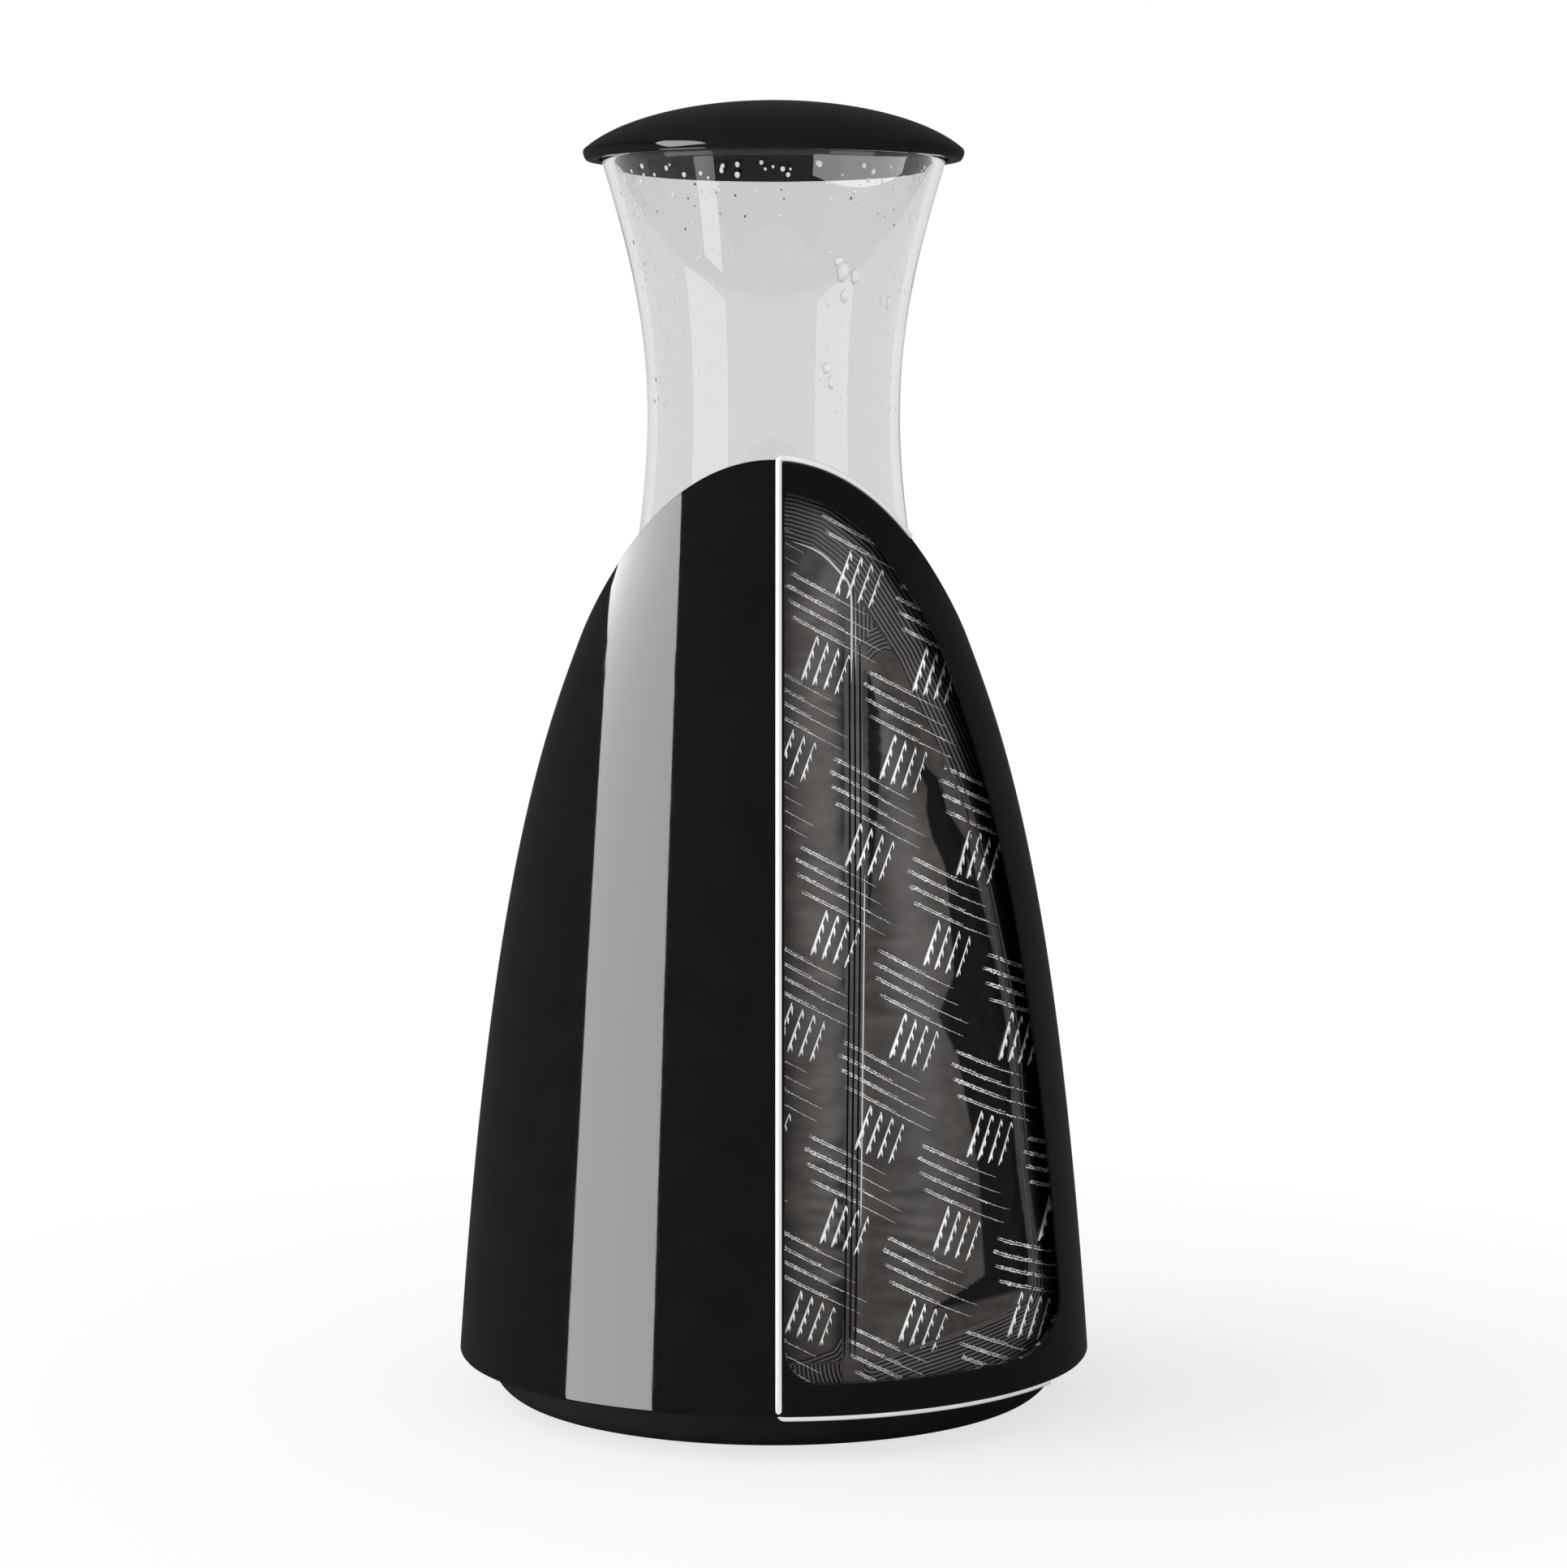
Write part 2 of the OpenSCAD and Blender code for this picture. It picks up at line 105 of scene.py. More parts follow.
def place(r, t, z):
    return np.stack([r * np.sin(t), -r * np.cos(t), z], -1)


def new_object(name, points, faces, material, body_name, slot, normals=None):
    mesh = bpy.data.meshes.new(name)
    mesh.from_pydata((np.asarray(points) * MM).tolist(), [], faces)
    mesh.polygons.foreach_set("use_smooth", [True] * len(mesh.polygons))
    mesh.update()
    if normals is not None:
        mesh.normals_split_custom_set(normals)
    mesh.materials.append(material)
    obj = bpy.data.objects.new(name, mesh)
    bpy.context.scene.collection.objects.link(obj)
    if body_name:
        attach(obj, body_name)
    return obj


def lathe(name, profile, material, body_name, slot, steps=192, sharp=32):
    """Turns a profile of (radius, height) points round the axis; points on the axis become one."""
    profile = np.asarray(profile, float)
    points, rings = [], []
    t = np.arange(steps) * 2 * math.pi / steps
    for r, z in profile:
        start = len(points)
        if r < 1e-6:
            points.append((0, 0, z))
            rings.append([start] * steps)
        else:
            points.extend(place(r, t, np.full(steps, z)))
            rings.append(list(range(start, start + steps)))
    closed = profile[0][0] > 1e-6
    pairs = list(zip(rings, rings[1:])) + ([(rings[-1], rings[0])] if closed else [])
    faces = []
    for low, high in pairs:
        for i in range(steps):
            k = (i + 1) % steps
            corners = [low[i], low[k], high[k], high[i]]
            faces.append(list(dict.fromkeys(corners)))
    obj = new_object(name, points, faces, material, body_name, slot)
    bm = bmesh.new()
    bm.from_mesh(obj.data)
    bmesh.ops.recalc_face_normals(bm, faces=bm.faces)
    bm.to_mesh(obj.data)
    bm.free()
    obj.data.set_sharp_from_angle(angle=math.radians(sharp))
    return obj


def tube(path, radius, sides, depth=None):
    """Points and faces of a bead along a path. Its depth from the axis is its radius if not given."""
    path = np.asarray(path, float)
    step = np.gradient(path, axis=0)
    step /= np.linalg.norm(step, axis=1)[:, None]
    out = path * (1, 1, 0)
    out /= np.linalg.norm(out, axis=1)[:, None]
    side = np.cross(step, out)
    side /= np.linalg.norm(side, axis=1)[:, None]
    up = np.cross(side, step)
    a = np.arange(sides) * 2 * math.pi / sides
    wide = np.asarray(radius).reshape(-1, 1, 1)
    deep = wide if depth is None else np.asarray(depth).reshape(-1, 1, 1)
    ring = wide * np.cos(a)[None, :, None] * side[:, None] + deep * np.sin(a)[None, :, None] * up[:, None]
    points = (path[:, None] + ring).reshape(-1, 3)
    n = len(path)
    faces = []
    for j in range(n - 1):
        for i in range(sides):
            k = (i + 1) % sides
            faces.append([j * sides + k, j * sides + i, (j + 1) * sides + i, (j + 1) * sides + k])
    faces.append(list(range(sides)))
    faces.append(list(range((n - 1) * sides, n * sides))[::-1])
    return points, faces


def joined(pieces):
    """One point list and one face list from several."""
    points, faces, start = [], [], 0
    for p, f in pieces:
        points.append(np.asarray(p))
        faces.extend([[i + start for i in face] for face in f])
        start += len(p)
    return np.concatenate(points), faces


# Materials

def node(material, kind, inputs=None, **settings):
    n = material.node_tree.nodes.new("ShaderNode" + kind)
    for key, value in settings.items():
        setattr(n, key, value)
    for key, value in (inputs or {}).items():
        if isinstance(value, bpy.types.NodeSocket):
            material.node_tree.links.new(value, n.inputs[key])
        else:
            n.inputs[key].default_value = value
    return n


def principled(name, color, roughness, **sockets):
    material = bpy.data.materials.new(name)
    material.use_nodes = True
    shader = material.node_tree.nodes["Principled BSDF"]
    shader.inputs["Base Color"].default_value = (*color, 1)
    shader.inputs["Roughness"].default_value = roughness
    for key, value in sockets.items():
        shader.inputs[key.replace("_", " ")].default_value = value
    return material


def into(material, socket, value):
    shader = material.node_tree.nodes["Principled BSDF"]
    material.node_tree.links.new(value, shader.inputs[socket])


def noise(material, size, detail=3.0, stretch=(1, 1, 1)):
    """Noise from 0 to 1 in object space, whose patches are about size millimetres wide."""
    place_at = node(material, "TexCoord").outputs["Object"]
    scale = [s / (size * MM) for s in stretch]
    spread = node(material, "Mapping", {"Vector": place_at, "Scale": scale}).outputs["Vector"]
    return node(material, "TexNoise", {"Vector": spread, "Scale": 1.0, "Detail": detail}).outputs["Fac"]


def ranged(material, value, low, high, start=0.3, end=0.7):
    limits = {"Value": value, "From Min": start, "From Max": end, "To Min": low, "To Max": high}
    return node(material, "MapRange", limits).outputs["Result"]


def blend(material, factor, first, second):
    n = node(material, "Mix", {"Factor": factor}, data_type="RGBA")
    for key, value in ((6, first), (7, second)):
        if isinstance(value, bpy.types.NodeSocket):
            material.node_tree.links.new(value, n.inputs[key])
        else:
            n.inputs[key].default_value = (*value, 1)
    return n.outputs[2]


def math_node(material, operation, a, b=0.0):
    n = node(material, "Math", operation=operation)
    for key, value in ((0, a), (1, b)):
        if isinstance(value, bpy.types.NodeSocket):
            material.node_tree.links.new(value, n.inputs[key])
        else:
            n.inputs[key].default_value = value
    return n.outputs[0]


def bump(material, height, distance, strength=1.0):
    made = node(material, "Bump", {"Height": height, "Distance": distance * MM, "Strength": strength})
    into(material, "Normal", made.outputs["Normal"])


def moulded(name, dark, light, roughness, grain, depth, **sockets):
    """A moulded surface: mottled colour, uneven gloss and a fine grain."""
    m = principled(name, dark, roughness[0], **sockets)
    into(m, "Base Color", blend(m, ranged(m, noise(m, 9), 0, 1), dark, light))
    into(m, "Roughness", ranged(m, noise(m, 4), *roughness))
    bump(m, noise(m, grain, 2), depth)
    return m


gloss_black = moulded("gloss_black", (0.0050, 0.0053, 0.0057), (0.0066, 0.0070, 0.0075), (0.03, 0.05),
                      7.0, 0.004, IOR=1.7)
# The lid's black is lighter than the cover's, a painted sheen for the soft reflections the lid lacks
lid_black = moulded("lid_black", (0.0104, 0.0101, 0.0104), (0.0126, 0.0122, 0.0126), (0.03, 0.05),
                    7.0, 0.004, IOR=1.7)
boot_rubber = moulded("boot_rubber", (0.010, 0.0104, 0.011), (0.014, 0.0144, 0.015), (0.7, 0.85),
                      0.5, 0.12, IOR=1.4)
inner_black = moulded("inner_black", (0.016, 0.016, 0.017), (0.024, 0.024, 0.025), (0.45, 0.6), 0.6, 0.03)
rest_silicone = moulded("rest_silicone", (0.22, 0.22, 0.23), (0.27, 0.27, 0.28), (0.45, 0.6), 0.8, 0.03)
plug_plum = moulded("plug_plum", (0.012, 0.0045, 0.0065), (0.017, 0.0065, 0.009), (0.3, 0.45), 0.8, 0.02,
                    Specular_IOR_Level=0.0)
seal_plum = moulded("seal_plum", (0.012, 0.0045, 0.0065), (0.017, 0.0065, 0.009), (0.4, 0.55), 0.8, 0.02,
                    Specular_IOR_Level=0.0)
# White of the section's trim line, and of the glint beads on the film, where it is a painted highlight
trim_and_glint_white = moulded("trim_and_glint_white", (0.86, 0.86, 0.86), (0.9, 0.9, 0.9), (0.35, 0.45), 1.0, 0.01)
frost_white = moulded("frost_white", (0.62, 0.62, 0.62), (0.9, 0.9, 0.9), (0.25, 0.4), 0.5, 0.05)

# The glass's grey tint dims the white ground seen through it: a painted shade for a darker studio behind the
# glass
clear_glass = principled("clear_glass", (0.81, 0.81, 0.81), 0.0, IOR=1.45, Transmission_Weight=1.0)
bump(clear_glass, noise(clear_glass, 12, 1, (1, 1, 0.35)), 0.05)
# Drops only partly clear: their pale, mostly diffuse colour is a painted highlight standing in for their
# glints
water = principled("water", (0.8, 0.8, 0.8), 0.02, IOR=1.33, Transmission_Weight=0.35)
bump(water, noise(water, 2, 1), 0.02)


# Glass carafe

def make_carafe():
    inside = (glass_curve + GLASS_WALL * left_normals(glass_curve))[glass_curve[:, 1] > 25.5]
    lip = (glass_curve[-1] + inside[-1]) / 2
    inner_heel = bezier((55.3, 24), (55.3, 17.5), (51.3, 13.5), (40, 13.5), 16)
    punt = bezier((30, 10.6), (37, 10.6), (40, 9), (43, 9), 8)
    profile = np.concatenate([[(0, 10.6)], punt, glass_curve, arc(lip, GLASS_WALL / 2, 25, 155, 8),
                              inside[::-1], inner_heel, [(0, 13.5)]])
    carafe = lathe("carafe_glass", profile, clear_glass, "base", "clear_glass", 224, 40)
    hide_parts("carafe")
    return carafe


def water_drops():
    """Condensed drops on the neck: fine ones below the lid and at the sides, a few large on the right."""
    rng = random.Random(5)
    # Each drop: azimuth, height, half width, and how many times as tall as wide
    drops = []
    for _ in range(60):
        drops.append((rng.uniform(-1.1, 1.1), 276.5 - abs(rng.gauss(0, 4.5)), rng.uniform(0.2, 0.6), 1.15))
    for _ in range(110):
        drops.append((rng.uniform(-1.35, -0.35), rng.uniform(222, 275), rng.uniform(0.15, 0.4), 1.3))
    for _ in range(40):
        drops.append((rng.uniform(0.3, 1.3), rng.uniform(222, 268), rng.uniform(0.15, 0.4), 1.3))
    for _ in range(24):
        drops.append((rng.uniform(1.6, 4.7), rng.uniform(264, 276), rng.uniform(0.15, 0.35), 1.1))
    drops += [(0.50, 253.5, 1.5, 1.5), (0.60, 252.5, 1.1, 1.5), (0.53, 248.2, 1.0, 1.5),
              (0.46, 255.6, 1.2, 0.9), (0.42, 232.5, 1.2, 1.0), (0.46, 229.5, 0.9, 1.6),
              (0.40, 246.5, 0.6, 1.3), (0.98, 247.0, 0.8, 1.8)]
    rings = [(1.0, -0.1), (0.95, 0.08), (0.76, 0.2), (0.42, 0.29), (0.0, 0.33)]
    slope_at = np.gradient(glass_curve[:, 0], glass_curve[:, 1] + 1e-9 * np.arange(len(glass_curve)))
    pieces = []
    for t, z, w, tall in drops:
        lean = math.atan(np.interp(z, glass_curve[:, 1], slope_at))
        r = float(glass_at(z))
        out = np.array([math.sin(t) * math.cos(lean), -math.cos(t) * math.cos(lean), -math.sin(lean)])
        along = np.array([math.cos(t), math.sin(t), 0])
        up = np.cross(along, out)
        up *= -1 if up[2] < 0 else 1
        centre = place(r, t, z)
        points, faces, sides = [], [], 12
        for size, lift in rings[:-1]:
            for k in range(sides):
                a = 2 * math.pi * k / sides
                sag = tall * (1.2 if math.sin(a) < 0 else 0.9)
                way = math.cos(a) * along + sag * math.sin(a) * up
                points.append(centre + w * (size * way + lift * out))
        points.append(centre + w * rings[-1][1] * out)
        for j in range(len(rings) - 2):
            for k in range(sides):
                n = (k + 1) % sides
                faces.append([j * sides + k, j * sides + n, (j + 1) * sides + n, (j + 1) * sides + k])
        top = len(points) - 1
        last = (len(rings) - 2) * sides
        faces += [[last + k, last + (k + 1) % sides, top] for k in range(sides)]
        faces.append(list(range(sides))[::-1])
        pieces.append((points, faces))
    points, faces = joined(pieces)
    return new_object("water_drops", points, faces, water, "base", "clear_glass")


# Gel packs: the same forms as the solids, a little fuller, with puckers, welds and film pattern

def pack_outer(z):
    return np.minimum(cover_at(z) - COVER_WALL - COVER_GAP, PACK_LIMIT)


def swell_shape(x, power):
    return np.maximum(0, 1 - np.abs(x) ** power)


def at_width(w, z):
    return np.arcsin(np.minimum(1, w / pack_outer(z)))


def side_end(z):
    least = math.radians(6)
    f = np.clip(1 - (SIDE_TOP - z) / 95, 0, 1) ** 2
    top_end = at_width(CHAMBER_W + SEAM_W, SIDE_TOP) + least
    full_end = math.radians(62)
    return np.maximum(at_width(CHAMBER_W + SEAM_W, z) + least, full_end + f * (top_end - full_end))


def front_chambers(z):
    """Side azimuths and end heights of the front pack's three chambers."""
    front, start, end = at_width(CHAMBER_W, z), at_width(CHAMBER_W + SEAM_W, z), side_end(z)
    return [(-end, -start, CHAMBER_Z, SIDE_TOP), (-front, front, CHAMBER_Z, FRONT_TOP),
            (start, end, CHAMBER_Z, SIDE_TOP)]


def back_chambers(z):
    first, seam = math.radians(101), math.radians(4)
    top = CHAMBER_Z + 58
    return [(first, math.pi - seam, CHAMBER_Z, top), (math.pi + seam, 2 * math.pi - first, CHAMBER_Z, top)]


def film_radii(t, z, chambers):
    """Outer and inner radius of a pack's film."""
    outer, inner = pack_outer(z), glass_at(z) + CORE_GAP
    room = outer - inner - WELD
    swell = np.minimum(CROWN, 0.4 * room) * swell_shape(np.sin(t), 8)
    full = np.zeros_like(z)
    for a, b, low, high in chambers(z):
        s, v = (2 * t - a - b) / (b - a), (2 * z - low - high) / (high - low)
        full = np.maximum(full, swell_shape(s, 2.6) * swell_shape(v, 7))
    puckers = 0.5 + 0.25 * np.sin(1.05 * z + 9 * np.sin(0.11 * z + 3 * t)) + 0.25 * np.sin(0.6 * z - 21 * t)
    pulled = 0.32 * puckers * full * (1 - full) * 4
    ripple = 0.12 * (1 + np.sin(0.21 * z + 5 * t + 2 * np.sin(7 * t + 0.05 * z))) * full
    outside = outer - swell * (1 - full) + 0.3 * full - pulled - ripple
    return outside, inner + (room - swell) * (1 - full)


def film_place(x, z, lift, chambers=front_chambers, turn=0.0):
    """Where a front-view place lies on a pack's film, raised by lift."""
    r = pack_outer(z)
    for _ in range(4):
        t = turn + np.arcsin(np.clip(x / r, -0.999, 0.999))
        r = film_radii(t, z, chambers)[0]
    return place(r + lift, t, z)


def pack_tops(t):
    """Height of a pack's oblique top edge at each azimuth."""
    z = np.full_like(t, 110.0)
    for _ in range(60):
        z = (z + TIP_Z - PACK_DROP - math.tan(CUT) * (TIP_R - pack_outer(z) * np.cos(t))) / 2
    return z


# Outlines of the chambers' welds seen from the front, as measured from the photo
front_outline = np.array([(0, 195.5), (3, 195), (8, 193.4), (12, 190.4), (CHAMBER_W, 185.9), (CHAMBER_W, 26),
                          (14, 22), (8, 20), (0, 19.5)])
ridge = np.array([(27.5, 168.5), (36, 150), (42.6, 134.8), (47, 115), (50.3, 99.8), (53.1, 83.9),
                  (53.6, 70.6), (55.2, 54.8), (57.7, 38.3), (57.8, 29), (56.4, 25.9), (31, 21.2),
                  (21.5, 18.8)])
side_start = [(20.5, 20.5), (20.5, 160), (20.4, 165), (21, 168.3), (22.5, 169.9), (24.6, 170.7),
              (26.1, 170.2)]
side_outline = np.concatenate([side_start, ridge])
envelope = np.concatenate([front_outline[:4], [(15.6, 187.2)], ridge, [(0, 18.8)]])
# Where the dark patch of painted shade starts at each height, and the grey margin of painted reflection
# between it and the ridge
shade_edge = np.array([(29.6, 34.6), (34.9, 46.1), (58, 44.7), (83.1, 40.1), (92.3, 35.6), (100.5, 39.3),
                     (118, 38.1), (124.2, 37.4), (130.6, 34.5), (136, 33.3), (140.9, 33.6), (144.4, 31.9),
                     (147.3, 32.7)])
shade_margin = np.array([(30, 1.2), (100, 0.8), (128, 1.0), (132, 2.8), (136, 4.1), (140, 3.0), (142.5, 2.9),
                       (145, 4.4), (147.3, 4.5)])


def line_distance(x, z, path):
    best = np.full(x.shape, 1e9)
    for (x0, z0), (x1, z1) in zip(path, path[1:]):
        dx, dz = x1 - x0, z1 - z0
        f = np.clip(((x - x0) * dx + (z - z0) * dz) / (dx * dx + dz * dz), 0, 1)
        best = np.minimum(best, np.hypot(x - x0 - f * dx, z - z0 - f * dz))
    return best


def inside_path(x, z, path):
    hit = np.zeros(x.shape, bool)
    ring = np.concatenate([path, path[:1]])
    for (x0, z0), (x1, z1) in zip(ring, ring[1:]):
        crosses = (z0 > z) != (z1 > z)
        edge = x0 + (z - z0) * (x1 - x0) / (z1 - z0 if z1 != z0 else 1e-9)
        hit ^= crosses & (x < edge)
    return hit


def seam_lean(z):
    """How far the straight seam leans inwards towards the foot."""
    return np.interp(z, (20, 123), (1.3, 0))


def front_paint(x, z):
    """Weld distance and painted shade of the front film, from its front-view place."""
    x = np.abs(x)
    seam_x = x + seam_lean(z) * smooth((26 - x) / 4)
    chamber = inside_path(seam_x, z, front_outline) | inside_path(seam_x, z, side_outline)
    distance = np.minimum(line_distance(seam_x, z, front_outline), line_distance(seam_x, z, side_outline))
    weld = np.where(chamber, -distance, distance)
    ridge_x = np.interp(z, ridge[::-1][1:, 1], ridge[::-1][1:, 0])
    seam = (seam_x > CHAMBER_W) & (seam_x < CHAMBER_W + SEAM_W) & (z < 172)
    beyond = (x > ridge_x + 0.6) & (z > 32) & (z < 142)
    weld = np.where(inside_path(x, z, envelope), weld, line_distance(x, z, envelope[:-1]))
    weld = np.where(seam | beyond, -1.0, weld)
    edge = np.interp(z, shade_edge[:, 0], shade_edge[:, 1])
    margin = np.interp(z, shade_margin[:, 0], shade_margin[:, 1])
    # Painted shade over the film's grey painted reflection: a dark patch, the film beyond the ridge, and
    # dark bands by the seam, the left edge and the top corner
    lens = smooth((x - edge) / 0.6 + 0.5) * smooth((ridge_x - margin - x) / 0.6 + 0.5)
    lens *= smooth((z - 28.5) / 1.5) * (z < 147.5)
    outside = 0.92 * smooth((x - ridge_x - 0.9) / 0.6) * smooth((z - 28) / 6) * (z < 150)
    past_seam = seam_x - CHAMBER_W - SEAM_W
    side_shade = 0.16 * smooth(past_seam / 2)
    near_seam = 0.85 * smooth((seam_x - 12.5) / 3.5) * (seam_x < CHAMBER_W)
    wedge = np.interp(z, (112, 120, 150, 158, 166), (0.3, 1.0, 3.4, 2.8, 0.6))
    right_of_seam = 0.95 * smooth((wedge - past_seam) / 0.6) * (past_seam > 0) * (z < 166)
    left_edge = 0.45 * smooth((6 - x) / 4) * (z < 190)
    top_corner = 0.5 * smooth((z - 183) / 6) * (x < CHAMBER_W)
    painted_shade = np.maximum.reduce([lens, outside, near_seam, right_of_seam, left_edge, top_corner, side_shade])
    return weld, painted_shade


def back_paint(x, z):
    """The back film: welds by distance from its two chambers, and an even quarter of the painted shade."""
    top = CHAMBER_Z + 58
    dx = np.maximum(np.maximum(5 - np.abs(x), np.abs(x) - 62), 0)
    dz = np.maximum(np.maximum(CHAMBER_Z - z, z - top), 0)
    weld = np.where(dx + dz > 0, np.hypot(dx, dz), -3.0)
    return weld, np.full(x.shape, 0.25)


def film_material():
    m = principled("pouch_film", (0.05, 0.05, 0.05), 0.3, IOR=1.4, Specular_IOR_Level=0.3)
    painted_shade = node(m, "Attribute", attribute_name="painted_shade").outputs["Fac"]
    weld = node(m, "Attribute", attribute_name="weld").outputs["Fac"]
    cloud = noise(m, 16, 4)
    # The film's mottled grey is a painted reflection of the soft box on the right; the painted shade
    # attribute darkens it to near black
    painted_sheen = blend(m, ranged(m, cloud, 0, 1, 0.25, 0.75), (0.0435, 0.0385, 0.0355), (0.073, 0.0645, 0.06))
    streak = ranged(m, noise(m, 3.2, 3, (0.25, 1, 1.2)), 0.7, 1.15)
    film = blend(m, painted_shade, painted_sheen, (0.0075, 0.0070, 0.0070))
    toned = node(m, "VectorMath", {0: film}, operation="SCALE")
    m.node_tree.links.new(streak, toned.inputs["Scale"])
    # Weld ribs: a painted highlight on each rib and a painted shade in each groove, with a bump of the same
    # ribs
    wave = math_node(m, "SINE", math_node(m, "MULTIPLY", weld, 2 * math.pi / 0.9))
    rib = math_node(m, "MULTIPLY", ranged(m, wave, 1, 0, -0.6, 0.6), ranged(m, weld, 0, 1, 0.1, 0.5))
    groove = math_node(m, "MULTIPLY", ranged(m, wave, 0, 1, -0.6, 0.6), ranged(m, weld, 0, 1, 0, 0.15))
    ribbed = blend(m, math_node(m, "MULTIPLY", groove, 0.95), toned.outputs[0], (0.006, 0.006, 0.006))
    into(m, "Base Color", blend(m, math_node(m, "MULTIPLY", rib, 0.65), ribbed, (0.118, 0.108, 0.103)))
    into(m, "Roughness", ranged(m, painted_shade, 0.4, 0.2, 0, 1))
    fine = math_node(m, "MULTIPLY", noise(m, 1.4, 3), 0.12)
    bump(m, math_node(m, "ADD", rib, fine), 0.18, 0.6)
    return m


def make_pack(name, cad_node, turns, rows, chambers, paint, turn, material):
    """A closed pouch. Its outer film has a fine grid, its inner one every third point."""
    t = np.radians(turns)
    z = PACK_Z + (pack_tops(t) - PACK_Z) * np.linspace(0, 1, rows + 1)[:, None]
    t = np.broadcast_to(t, z.shape)
    out, inner = film_radii(t, z, chambers)
    step = 3
    coarse = (slice(None, None, step), slice(None, None, step))
    points = np.concatenate([place(out, t, z).reshape(-1, 3),
                             place(inner[coarse], t[coarse], z[coarse]).reshape(-1, 3)])
    at = np.arange(z.size).reshape(z.shape)
    at_in = z.size + np.arange(z[coarse].size).reshape(z[coarse].shape)

    def quads(grid):
        return np.stack([grid[:-1, :-1], grid[:-1, 1:], grid[1:, 1:], grid[1:, :-1]], -1).reshape(-1, 4)

    def rim(grid):
        return np.concatenate([grid[0, :-1], grid[:-1, -1], grid[-1, :0:-1], grid[:0:-1, 0]]).tolist()

    faces = quads(at).tolist() + quads(at_in)[:, ::-1].tolist()
    fine, plain_rim = rim(at), rim(at_in)
    for k, first in enumerate(plain_rim):
        second = plain_rim[(k + 1) % len(plain_rim)]
        faces.append([first, second] + [fine[(step * k + j) % len(fine)] for j in range(step, -1, -1)])
    obj = new_object(name, points, faces, material, "base", "pouch_film")
    obj.data.set_sharp_from_angle(angle=math.radians(60))
    # Weld distance and painted shade go into attributes that the film's colour reads
    weld, painted_shade = paint(out * np.sin(t - turn), z)
    for key, value, inside in (("weld", weld, -3.0), ("painted_shade", painted_shade, 0.2)):
        both = np.concatenate([value.ravel(), np.full(at_in.size, inside)])
        obj.data.attributes.new(key, "FLOAT", "POINT").data.foreach_set("value", both.astype(np.float32))
    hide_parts(cad_node)
    return obj


# Film pattern: frosted strokes in a basket pattern of short lines and steep feathers

STEP_ACROSS, STEP_DOWN, PATTERN_START = (24.5, -3.4), (-7.5, -19.3), (5.85, 120.1)
LINE_SLOPE, TOP_DROP, GRAIN_LIFT = math.radians(28.7), 0.052, 0.1
# Each line of a cell: its start from the cell's place, its length, and how thickly grains lie on it
LINES = [(0.0, 0.0, 21.0, 0.7), (-0.9, 3.65, 23.5, 1.0), (-1.4, 6.9, 21.5, 1.0), (-0.3, 9.45, 19.0, 0.85)]


def kite(a, b, width, marks):
    """A small raised shard from a to b, widest and highest half way along."""
    ax, az = a
    dx, dz = b[0] - ax, b[1] - az
    size = math.hypot(dx, dz)
    nx, nz = -dz / size * width / 2, dx / size * width / 2
    mx, mz = ax + 0.5 * dx, az + 0.5 * dz
    rim = [(ax, az, 0.0), (mx - nx, mz - nz, 0.0), b + (0.0,), (mx + nx, mz + nz, 0.0)]
    marks.append(rim + [(mx, mz, GRAIN_LIFT)])


def pattern_cell(x, z, rng, marks, strokes):
    """Four lines of grains and, below the last one, four barbed strokes. x, z is the last line's start."""
    c, s = math.cos(LINE_SLOPE), -math.sin(LINE_SLOPE)
    for dx, dz, length, weight in LINES:
        x0, z0 = x + dx, z + dz
        f = np.linspace(0, 1, 16)
        for offset, reach, size in ((0.0, 1.0, 0.11), (0.42, 0.6, 0.09)):
            run = length * reach * f
            thread = np.stack([x0 + run * c - offset * s, z0 + run * s + offset * c], 1)
            sizes = size * np.minimum(1, 0.3 + 4 * f) * (1 - 0.75 * f)
            for i in range(0, 15, 3):
                strokes.append([(thread[i:i + 4], sizes[i:i + 4])])
        clumps = [rng.betavariate(1.3, 2.0) for _ in range(8)]
        for _ in range(int(8 * weight * length)):
            f = rng.betavariate(1.3, 2.0)
            if rng.random() < 0.4:
                f = abs(rng.choice(clumps) + rng.gauss(0, 0.02))
            across = (rng.choice((0.0, 0.42)) if f < 0.6 else 0.0) + rng.gauss(0, 0.09)
            reach = rng.uniform(0.2, 0.5) * (1.1 - 0.5 * f)
            a = rng.gauss(-LINE_SLOPE, 0.2)
            px, pz = x0 + f * length * c - across * s, z0 + f * length * s + across * c
            tip = (px + reach * math.cos(a), pz + reach * math.sin(a))
            kite((px, pz), tip, reach * rng.uniform(0.45, 0.75), marks)
    for k in range(4):
        tx, tz = x + 5.6 + 2.33 * k, z - 4.1 - 1.4 * k
        vx, vz = -3.4 + 0.1 * k, -9.3 + 0.35 * k
        width = 0.42 - 0.06 * k
        f = np.linspace(0, 1, 10)
        sizes = width * (0.35 + 0.65 * f) * np.where(f > 0.95, 0.5, 1)
        feather = [(np.stack([tx + f * vx, tz + f * vz], 1), sizes)]
        for i in range(4):
            at = 0.02 + 0.25 * i + rng.uniform(-0.03, 0.03)
            g = np.linspace(0, 1, 4)
            bx, bz = tx + at * vx, tz + at * vz
            reach, lean = rng.uniform(1.6, 2.3) * (1 - 0.08 * k), rng.uniform(0.1, 0.35)
            barb = np.stack([bx + g * lean, bz - g * reach], 1)
            feather.append((barb, width * rng.uniform(0.65, 0.85) * np.array([0.6, 1.0, 0.75, 0.25])))
        strokes.append(feather)


